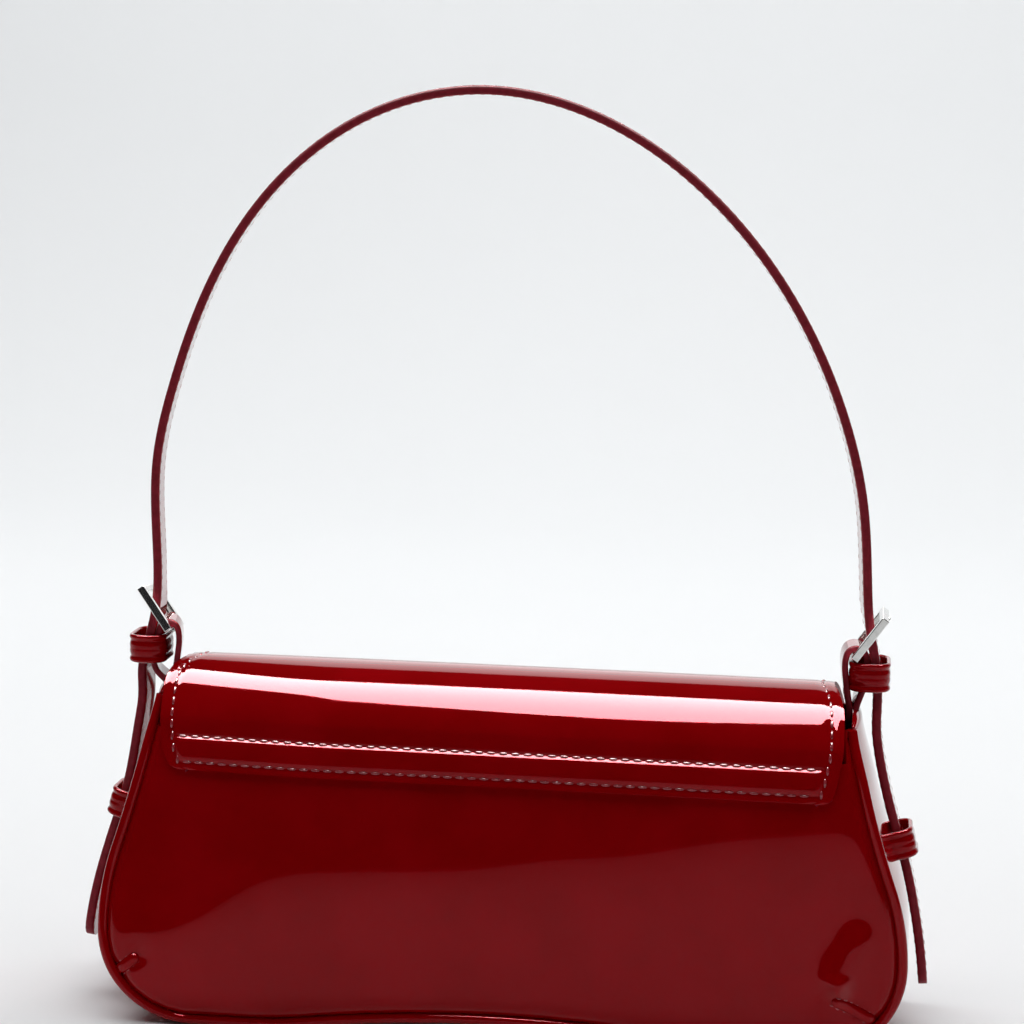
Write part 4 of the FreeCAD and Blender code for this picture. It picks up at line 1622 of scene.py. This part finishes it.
@dataclass
class Strip:
    """A flat strip of leather that is bent along a line in the XZ plane."""

    line: Line
    half_width: float
    half_thickness: float
    edge_round: float = 0.9

    def section(self, count: int) -> tuple[Array, Array]:
        """Points round the strip's section.

        Args:
            count: how many points there are.

        Returns:
            Offsets out of the strip and across it.
        """
        corner = min(self.edge_round, self.half_thickness)
        flat = self.half_width - corner
        side = self.half_thickness - corner
        turns = np.linspace(0, math.pi / 2, 5)
        loop = []
        for sx, sy, start in ((1, 1, 0), (-1, 1, 1), (-1, -1, 2), (1, -1, 3)):
            for turn in turns + start * math.pi / 2:
                loop.append((sx * side + corner * math.cos(turn), sy * flat + corner * math.sin(turn)))
        loop.append(loop[0])
        walk = Line(loop, curved=False)
        found = walk.at(np.linspace(0, walk.length, count))
        return found[:, 0], found[:, 1]

    def width_at(self, s: Array) -> Array:
        """Share of the full width at distances along the strip: both ends are half round."""
        near = np.clip(np.minimum(s, self.line.length - s) / self.half_width, 0.02, 1)
        return np.sqrt(1 - (1 - near) ** 2)

    def build(
        self, name: str, rows: int, around: int = 57, lean: Callable[[Array], Array] | None = None
    ) -> bpy.types.Object:
        """Makes the strip.

        Args:
            name: of the piece.
            rows: steps along it.
            around: points round its section.
            lean: sideways shift for each millimetre across, at heights.

        Returns:
            The finished strip.
        """
        out_by, across_by = self.section(around)
        tube = Bench.grid(name, around - 1, rows)

        def place(u: Array, v: Array) -> Array:
            """Rolls the grid round the section.

            Args:
                u: places across the grid, from -1 to 1.
                v: places along it, from -1 to 1.

            Returns:
                Points in millimetres.
            """
            share = (v + 1) / 2
            s = share * self.line.length
            number = (u + 1) / 2 * (around - 1)
            out = np.interp(number, np.arange(around), out_by)
            across = np.interp(number, np.arange(around), across_by) * self.width_at(s)
            spot = self.line.at(s) + self.line.left(s) * out[:, None]
            x = spot[:, 0]
            if lean is not None:
                x = x + lean(spot[:, 1]) * (across + self.half_width)
            return np.stack([x, across, spot[:, 1]], -1)

        Bench.form(tube, place)
        Bench.mend(tube, caps=True)
        Bench.coat(tube, PATENT, EDGE)
        sides = np.array([abs(p.normal.y) for p in tube.data.polygons])
        tube.data.polygons.foreach_set("material_index", (sides > 0.5).astype(np.int32))
        Bench.shade(tube, 60)
        return tube


@dataclass(frozen=True)
class StrapEnd:
    """What differs between the two ends of the handle: the bag hangs a little unevenly.

    hang gives how far the tail stands off the gusset at shares of its drop. tuck, power and fuller
    shape the arch above. pull and twist bend the tab. near and far are the sliding keeper's walls. tip
    turns the buckle, in degrees.
    """

    root: float
    drop: float
    hang: tuple[tuple[float, float], ...]
    tuck: float
    power: float
    fuller: float
    pull: float
    twist: float
    near: float
    far: float
    sewn_height: float
    tip: float


STRAP_ENDS = {
    Side.LEFT: StrapEnd(
        root=124.6, drop=91.5,
        hang=((0.13, 3.5), (0.26, 2.7), (0.38, 1.9), (0.57, 1.9), (0.72, 3.8), (0.87, 6.6), (1.0, 8.4)),
        tuck=0.9, power=2.12, fuller=1.9, pull=1.0, twist=-0.19,
        near=117.2, far=128.4, sewn_height=67.0, tip=-6.5,
    ),
    Side.RIGHT: StrapEnd(
        root=122.6, drop=93.5,
        hang=((0.13, 1.3), (0.26, 1.0), (0.38, 1.0), (0.57, 0.9), (0.72, 1.9), (0.87, 3.9), (1.0, 5.2)),
        tuck=1.9, power=1.85, fuller=0.0, pull=0.0, twist=-0.07,
        near=113.7, far=125.8, sewn_height=65.4, tip=1.0,
    ),
}


@dataclass
class Handle:
    """The strap with its arch and its two hanging tails, the tabs, keepers and buckles."""

    form: BagForm
    pivot: float = 110.0
    strap_half: float = 7.0
    strap_ply: float = 1.52
    strap_twist: float = -0.112
    stitch_pitch: float = 3.6
    stitch_inset: float = 1.9
    apex: float = -8.5
    arch_foot: float = 155.0
    arch_rise: float = 154.75
    fuller_at: float = 34.0
    fuller_reach: float = 22.0
    gusset_swell: float = 1.6
    swell_rise: float = 33.75
    strap_gap: float = 1.25
    buckle_spot: tuple[float, float] = (119.96, 134.3)
    heel: tuple[float, float] = (115.316, 128.35)
    frame_pitch: float = 14.6
    frame_lean: float = 35.5
    frame_half: float = 7.55
    rail: float = 2.2
    bar: float = 1.2
    prong_half: float = 0.9
    prong_thick: float = 0.42
    tab_half: float = 6.5
    tab_loop: tuple[float, float] = (127.0, 3.4)
    tab_legs: tuple[float, float] = (113.7, 115.6)
    keeper_wall: float = 1.35
    keeper_height: float = 9.4
    slide_level: float = 116.6
    slide_half: float = 8.8
    slide_round: float = 4.4
    sewn_ring: tuple[float, float, float, float] = (-6.2, 4.8, 8.2, 4.0)
    sewn_lean: float = 15.0
    sewn_spot: tuple[float, float] = (130.6, 68.0)
    sewn_slope: float = 0.27

    def tail(self, side: Side) -> list[tuple[float, float]]:
        """Points down a tail from the swing line to the tip, as on the right.

        Args:
            side: end of the bag.

        Returns:
            Pairs of distance from the middle and height.
        """
        end = STRAP_ENDS[side]
        points = [(end.root, self.pivot), (end.root, self.pivot - 0.06 * end.drop)]
        for share, gap in end.hang:
            z = self.pivot - share * end.drop
            level = max(z, self.form.corner)
            share = min((level - self.form.corner) / self.swell_rise, 1.0)
            swell = self.gusset_swell * math.sin(share * math.pi / 2) ** 2
            points.append((float(self.form.side_at(level)) + swell + gap + self.strap_gap, z))
        return points

    def half(self, side: Side) -> list[tuple[float, float]]:
        """Points from a tail's tip up to the last one before the top of the arch.

        Args:
            side: end of the bag.

        Returns:
            Pairs of place along the bag and height.
        """
        sign, end = side.value, STRAP_ENDS[side]
        points = [(sign * x, z) for x, z in reversed(self.tail(side))]
        buckle_x, buckle_z = self.buckle_spot
        points += [(sign * end.root, 114.0), (sign * (end.root + 122.2) / 2, 120.2)]
        points.append((sign * buckle_x, buckle_z))
        reach = buckle_x - end.tuck - sign * self.apex
        for degrees in (0, 10, 20, 34, 52, 72):
            turn = math.radians(degrees)
            up = self.arch_rise * math.sin(turn) ** (2 / end.power)
            out = reach * math.cos(turn) ** (2 / end.power)
            out += end.fuller * float(bump(up, self.fuller_at, self.fuller_reach))
            points.append((self.apex + sign * out, self.arch_foot + up))
        return points

    def strap(self) -> None:
        """The strap with its rows of stitches."""
        top = (self.apex, self.arch_foot + self.arch_rise)
        line = Line(self.half(Side.LEFT) + [top] + self.half(Side.RIGHT)[::-1])
        strip = Strip(line, self.strap_half, self.strap_ply)

        def lean(z: Array) -> Array:
            """The strap is a little twisted above the buckles."""
            return self.strap_twist * smooth(z, 127, 146)

        body = strip.build("handle_strap", rows=900, around=57, lean=lean)
        stitcher = Stitcher(length=2.6, radius=0.30, stand=0.08)
        s = np.arange(4.0, line.length - 4.0, self.stitch_pitch)
        spots, ways, outs = [], [], []
        for face in (-1, 1):
            for edge in (-1, 1):
                y = np.full_like(s, edge * (self.strap_half - self.stitch_inset))
                spot = line.at(s) + line.left(s) * (face * (self.strap_ply - 0.26))
                x = spot[:, 0] + lean(spot[:, 1]) * (y + self.strap_half)
                spots.append(np.stack([x, y, spot[:, 1]], -1))
                way, out = line.ahead(s), line.left(s) * face
                zero = np.zeros_like(s)
                ways.append(np.stack([way[:, 0], zero, way[:, 1]], -1))
                outs.append(np.stack([out[:, 0], zero, out[:, 1]], -1))
        laid = (np.concatenate(parts) for parts in (spots, ways, outs))
        stitches = stitcher.sew("strap_stitches", *laid)
        body.visible_glossy = stitches.visible_glossy = False
        for piece in (body, stitches):
            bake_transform(piece)
        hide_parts("handle_strap_outer", "handle_strap_inner", "left_strap_tail", "right_strap_tail")
        LOG.info("strap is %.0f mm long", line.length)

    def tab(self, side: Side) -> None:
        """A looped strip that holds the buckle's heel bar.

        Args:
            side: end of the bag.
        """
        x, low, end = self.heel[0], self.pivot, STRAP_ENDS[side]
        z, r = self.tab_loop
        root, outer = self.tab_legs
        drop, pull = z - low, end.pull
        points = [(root, low - 7.5), (root, low - 4), (root, low - 1)]
        points += [(root - 0.7, low + 0.25 * drop), (x - r + 0.2, z - 0.4 * drop)]
        for degrees in (180, 135, 90, 45, 0):
            turn = math.radians(degrees)
            points.append((x + r * math.cos(turn), z + r * math.sin(turn)))
        points.append((x + r - 0.1 + 1.2 * pull, z - 0.25 * drop))
        points.append((x + r - 0.5 + 2.4 * pull, z - 0.5 * drop))
        points.append((outer + 0.9 + 2.6 * pull, low + 0.18 * drop))
        points += [(outer, low - 1), (outer, low - 4), (outer, low - 7.5)]
        line = Line([(side.value * a, b) for a, b in points])

        def lean(height: Array) -> Array:
            """The loop is a little twisted, like the strap."""
            return end.twist * smooth(height, low - 6, low + 4)

        strip = Strip(line, self.tab_half, half_thickness=1.05, edge_round=0.6)
        loop = strip.build(f"{side.word}_tab_loop", rows=160, around=45, lean=lean)
        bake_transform(loop)
        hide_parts(f"{side.word}_tab")

    def band(self, name: str, ring: Line) -> bpy.types.Object:
        """A keeper: a leather band with turned edges, upright round a closed line.

        Args:
            name: of the piece.
            ring: closed line in plan that the middle of the wall follows.

        Returns:
            The band, standing on height 0.
        """
        wall, rim, half = self.keeper_wall, 0.16, self.keeper_height / 2
        profile = Line([
            (0.5 * wall + 0.05, 0.0), (0.5 * wall, 0.40 * half), (0.5 * wall - 0.2, 0.60 * half),
            (0.5 * wall + 0.10, 0.74 * half), (0.5 * wall + rim, 0.86 * half), (0.26 * wall, half),
            (-0.3 * wall, 0.98 * half), (-0.5 * wall, 0.85 * half), (-0.5 * wall, 0.0),
        ], fine=6)
        upper = profile.points
        under = upper[1:-1][::-1] * (1, -1)
        loop = Line(np.concatenate([upper, under, upper[:1]]), curved=False)
        band = Bench.grid(name, 96, 72)

        def place(u: Array, v: Array) -> Array:
            """Sweeps the wall's section round the ring.

            Args:
                u: places across the grid, from -1 to 1.
                v: places along it, from -1 to 1.

            Returns:
                Points in millimetres.
            """
            s = (u + 1) / 2 * ring.length
            cut = loop.at((v + 1) / 2 * loop.length)
            spot = ring.at(s) - self.turned(ring, s) * cut[:, :1]
            return np.stack([spot[:, 0], spot[:, 1], cut[:, 1] + half], -1)

        Bench.form(band, place)
        Bench.mend(band)
        Bench.coat(band, PATENT)
        Bench.shade(band, 70)
        return band

    @staticmethod
    def turned(ring: Line, s: Array) -> Array:
        """Inward directions of a closed line that runs to the left.

        Args:
            ring: the line.
            s: distances along it.

        Returns:
            Pairs of length 1.
        """
        reach = 0.35
        step = ring.at((s + reach) % ring.length) - ring.at((s - reach) % ring.length)
        step /= np.linalg.norm(step, axis=-1, keepdims=True)
        return np.stack([-step[:, 1], step[:, 0]], -1)

    @staticmethod
    def rounded_ring(low: float, high: float, half: float, radius: float) -> Line:
        """A closed rectangle with round corners, in plan.

        Args:
            low: least place along the bag.
            high: greatest place along it.
            half: half its depth.
            radius: of its corners.

        Returns:
            The line.
        """
        points = []
        corners = ((high - radius, half - radius), (low + radius, half - radius))
        corners += ((low + radius, radius - half), (high - radius, radius - half))
        for number, (x, y) in enumerate(corners):
            for turn in np.linspace(0, math.pi / 2, 9) + number * math.pi / 2:
                points.append((x + radius * math.cos(turn), y + radius * math.sin(turn)))
        return Line(points + points[:1], curved=False)

    def keepers(self, side: Side) -> None:
        """The sliding keeper under the buckle and the sewn one lower down.

        Args:
            side: end of the bag.
        """
        end = STRAP_ENDS[side]
        low, high = sorted((side.value * end.near, side.value * end.far))
        ring = self.rounded_ring(low, high, self.slide_half, self.slide_round)
        band = self.band(f"{side.word}_slide_band", ring)
        band.data.transform(Matrix.Translation((0, 0, self.slide_level * MM)))
        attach(band, f"{side.word}_keeper")
        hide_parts(f"{side.word}_upper_keeper")
        sewn = self.band(f"{side.word}_sewn_band", self.rounded_ring(*self.sewn_ring))
        lean = math.radians(self.sewn_lean)
        out, level = self.sewn_spot
        out += self.sewn_slope * (level - end.sewn_height)
        spot = Vector((out, 0, end.sewn_height)) * MM
        move = Matrix.Translation(spot) @ Matrix.Rotation(-lean, 4, "Y")
        move = move @ Matrix.Translation((0, 0, -self.keeper_height / 2 * MM))
        if side is Side.LEFT:
            move = Matrix.Rotation(math.pi, 4, "Z") @ move
        sewn.data.transform(move)
        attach(sewn, "bag_body")
        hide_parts(f"{side.word}_lower_keeper")

    def buckle(self, side: Side) -> None:
        """A rectangular frame with bevelled rails; its round heel bar lies in the tab.

        Args:
            side: end of the bag.
        """
        half, bar = self.frame_half + self.rail, self.bar + 0.1
        bpy.ops.object.select_all(action="DESELECT")
        bpy.ops.mesh.primitive_cube_add(size=1.0)
        frame_piece = bpy.context.object
        frame_piece.name = frame_piece.data.name = f"{side.word}_buckle_rails"
        low, high = -bar, self.frame_pitch + bar
        grow = Matrix.Diagonal((2 * bar * MM, 2 * half * MM, (high - low) * MM, 1.0))
        frame_piece.data.transform(Matrix.Translation((0, 0, (high + low) / 2 * MM)) @ grow)
        broad = np.array([abs(face.normal.x) > 0.9 for face in frame_piece.data.polygons])
        Bench.pick(frame_piece, "FACE", broad)
        with Bench.editing(frame_piece):
            bpy.ops.mesh.inset(thickness=self.rail * MM, depth=0.0)
            bpy.ops.mesh.bridge_edge_loops()
        Bench.mend(frame_piece)
        Bench.round_edges(frame_piece, 0.3, 3, 60)
        frame_piece.data.transform(self.leaned(side))
        Bench.coat(frame_piece, STEEL)
        Bench.shade(frame_piece, 35)
        Bench.apply(frame_piece, "WEIGHTED_NORMAL", keep_sharp=True, weight=100)
        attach(frame_piece, "handle")
        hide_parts(f"{side.word}_buckle_frame")

    def leaned(self, side: Side) -> Matrix:
        """Where a buckle stands, with its heel bar in the tab.

        Args:
            side: end of the bag.

        Returns:
            The placement, from a buckle that stands upright on its heel bar.
        """
        lean = Matrix.Rotation(side.value * math.radians(self.frame_lean), 4, "Y")
        heel = Matrix.Translation((side.value * self.heel[0] * MM, 0, self.heel[1] * MM))
        middle = heel @ lean @ Vector((0, 0, self.frame_pitch / 2 * MM))
        tip = Matrix.Rotation(math.radians(STRAP_ENDS[side].tip), 4, "X")
        return Matrix.Translation(middle) @ tip @ Matrix.Translation(-middle) @ heel @ lean

    def prong(self, side: Side) -> None:
        """A flat steel prong that is rolled round the heel bar and rests on the toe bar.

        Args:
            side: end of the bag.
        """
        ring, thick = self.bar + 0.62, self.prong_thick
        points = []
        for degrees in (170, 215, 260, 305, 350):
            turn = math.radians(degrees)
            points.append((ring * math.cos(turn), ring * math.sin(turn)))
        lie = self.bar + 0.1 + thick
        points += [(ring - 0.02, 4.0), (lie + 0.05, 9.0)]
        points += [(lie, self.frame_pitch - 0.5), (lie, self.frame_pitch + 1.1)]
        line = Line([(side.value * x, z) for x, z in points])
        strip = Strip(line, self.prong_half, half_thickness=thick, edge_round=0.4)
        rod = strip.build(f"{side.word}_prong_rod", rows=90, around=33)
        rod.data.transform(self.leaned(side))
        Bench.coat(rod, STEEL)
        rod.data.polygons.foreach_set("material_index", np.zeros(len(rod.data.polygons), np.int32))
        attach(rod, f"{side.word}_prong")
        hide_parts(f"{side.word}_prong")

    def build(self) -> None:
        """Makes the handle and what holds it."""
        self.strap()
        for side in Side:
            self.tab(side)
            self.keepers(side)
            self.buckle(side)
            self.prong(side)
            LOG.info("%s buckle with tab and keepers", side.word)


@dataclass
class Studio:
    """Camera, paper sweep and lights."""

    azimuth: float = 7.0
    elevation: float = 8.5
    roll: float = 0.9
    target: tuple[float, float, float] = (0.0, 0.0, 0.171)
    distance: float = 0.950
    focal_pixels: float = 2856.0
    frame_pixels: float = 1024.0
    sensor: float = 36.0
    paper_line: tuple[tuple[float, float], ...] = (
        (-1300, 0), (-600, 0), (200, 0), (900, 0), (1250, 25), (1500, 150), (1620, 400), (1650, 900),
        (1650, 1650),
    )
    paper_half: float = 2600.0
    overhead_half: float = 1100.0
    overhead_middle: float = -100.0
    overhead_front: float = -200.0
    overhead_back: float = 400.0
    overhead_height: float = 1620.0
    bow: float = 500.0
    bow_middle: float = -180.0
    bow_half: float = 230.0
    behind_half: tuple[float, float] = (1800.0, 760.0)
    behind_middle: tuple[float, float] = (1600.0, 780.0)
    seen_colour: tuple[float, float, float] = (0.86, 0.885, 0.90)
    room_colour: tuple[float, float, float] = (0.020, 0.019, 0.020)

    def camera(self) -> None:
        """The camera, at the photograph's place."""
        az, el, roll = (math.radians(a) for a in (self.azimuth, self.elevation, self.roll))
        back = Vector((math.sin(az) * math.cos(el), -math.cos(az) * math.cos(el), math.sin(el)))
        right = Vector((math.cos(az), math.sin(az), 0.0))
        up = back.cross(right)
        tilted = right * math.cos(roll) + up * math.sin(roll)
        upright = up * math.cos(roll) - right * math.sin(roll)
        data = bpy.data.cameras.new("camera")
        data.sensor_width = self.sensor
        data.lens = self.focal_pixels / self.frame_pixels * self.sensor
        obj = bpy.data.objects.new("camera", data)
        bpy.context.scene.collection.objects.link(obj)
        place = Vector(self.target) + back * self.distance
        turn = Matrix((tilted, upright, back)).transposed().to_4x4()
        obj.matrix_world = Matrix.Translation(place) @ turn
        bpy.context.scene.camera = obj

    def sweep(self) -> None:
        """A paper sweep: a floor that rises behind the bag."""
        paper = Bench.grid("paper_sweep", 40, 90)
        side_view = Line(self.paper_line)

        def place(u: Array, v: Array) -> Array:
            """Bends the paper along its side view."""
            spot = side_view.at((v + 1) / 2 * side_view.length)
            return np.stack([u * self.paper_half, spot[:, 0], spot[:, 1]], -1)

        Bench.form(paper, place)
        flat = Bench.places(paper)
        flat[:, 2] = np.maximum(flat[:, 2], 0.0) - 0.0003
        paper.data.vertices.foreach_set("co", flat.ravel())
        if paper.data.polygons[0].normal.z < 0:
            Bench.flip(paper)
        Bench.coat(paper, PAPER)
        Bench.shade(paper)

    @staticmethod
    def mirrored(name: str, place: Placing, lamp: Lamp) -> None:
        """A lit panel that is only seen in glossy surfaces.

        Args:
            name: of the panel.
            place: gives its points in millimetres.
            lamp: its cloth.
        """
        panel = Bench.grid(name, 48, 12)
        Bench.form(panel, place)
        Bench.coat(panel, lamp)
        Glow.MIRRORED.limit(panel)
        panel.visible_shadow = False

    @staticmethod
    def softbox(
        name: str, place: Sequence[float], aim: Sequence[float], size: Sequence[float], power: float
    ) -> None:
        """A rectangular light for matt surfaces that faces a point.

        Args:
            name: of the light.
            place: its middle, in metres.
            aim: the point.
            size: width and height.
            power: in watts.
        """
        data = bpy.data.lights.new(name, "AREA")
        data.shape = "RECTANGLE"
        data.size, data.size_y = size
        data.energy = power
        obj = bpy.data.objects.new(name, data)
        bpy.context.scene.collection.objects.link(obj)
        Glow.SPREAD.limit(obj)
        way = Vector(aim) - Vector(place)
        obj.matrix_world = Matrix.Translation(place) @ way.to_track_quat("-Z", "Y").to_matrix().to_4x4()

    def lights(self) -> None:
        """A panel with a bowed front edge overhead, a pale one behind, and two soft boxes."""

        def overhead(u: Array, v: Array) -> Array:
            """A wide panel over the bag, deepest in its middle.

            Args:
                u: places across the grid, from -1 to 1.
                v: places along it, from -1 to 1.

            Returns:
                Points in millimetres.
            """
            x = self.overhead_half * u + self.overhead_middle
            front = self.overhead_front - self.bow * bump(x, self.bow_middle, self.bow_half)
            y = front + (self.overhead_back - front) * (v + 1) / 2
            return np.stack([x, y, np.full_like(x, self.overhead_height)], -1)

        def behind(u: Array, v: Array) -> Array:
            """A wide upright panel just before the paper."""
            (wide, high), (y, z) = self.behind_half, self.behind_middle
            return np.stack([wide * u, np.full_like(u, y), z + high * v], -1)

        self.mirrored("overhead_panel", overhead, TOP_LAMP)
        self.mirrored("back_panel_glow", behind, BACK_LAMP)
        self.softbox(
            "key_box", place=(0.0, -0.06, 1.62), aim=(0.0, 0.0, 0.0), size=(2.4, 1.6), power=24.4
        )
        self.softbox(
            "paper_box", place=(0.0, 0.5, 1.75), aim=(0.0, 1.6, 0.6), size=(3.0, 0.5), power=26.5
        )

    def room(self) -> None:
        """A room that is dim for the bag and pale where nothing hides it."""
        world = bpy.data.worlds.new("room")
        world.use_nodes = True
        tree = world.node_tree
        tree.nodes.clear()
        out = tree.nodes.new("ShaderNodeOutputWorld")
        mix = tree.nodes.new("ShaderNodeMixShader")
        ray = tree.nodes.new("ShaderNodeLightPath")
        tree.links.new(ray.outputs["Is Camera Ray"], mix.inputs[0])
        for slot, colour in ((1, self.room_colour), (2, self.seen_colour)):
            glow = tree.nodes.new("ShaderNodeBackground")
            glow.inputs[0].default_value = (*colour, 1)
            tree.links.new(glow.outputs[0], mix.inputs[slot])
        tree.links.new(mix.outputs[0], out.inputs[0])
        bpy.context.scene.world = world
        bpy.context.scene.view_settings.view_transform = "Standard"

    def build(self) -> None:
        """Sets the studio up."""
        self.camera()
        self.sweep()
        self.lights()
        self.room()
        LOG.info("studio with camera, paper and lights")


def dress_metal() -> None:
    """Gives the construction model's own rigid pieces their materials."""
    chosen = {"snap_socket": STEEL, "snap_stud": STEEL, "base_board": BOARD}
    for node, finish in chosen.items():
        Bench.coat(bpy.data.objects[node], finish)
        LOG.info("%s keeps its solid", node)


def main() -> None:
    """Builds the bag and its studio, in order."""
    logging.basicConfig(level=logging.INFO)
    form = BagForm()
    Studio().build()
    Shell(form).build()
    Flap(form).build()
    Handle(form).build()
    dress_metal()


if __name__ == "__main__":
    main()
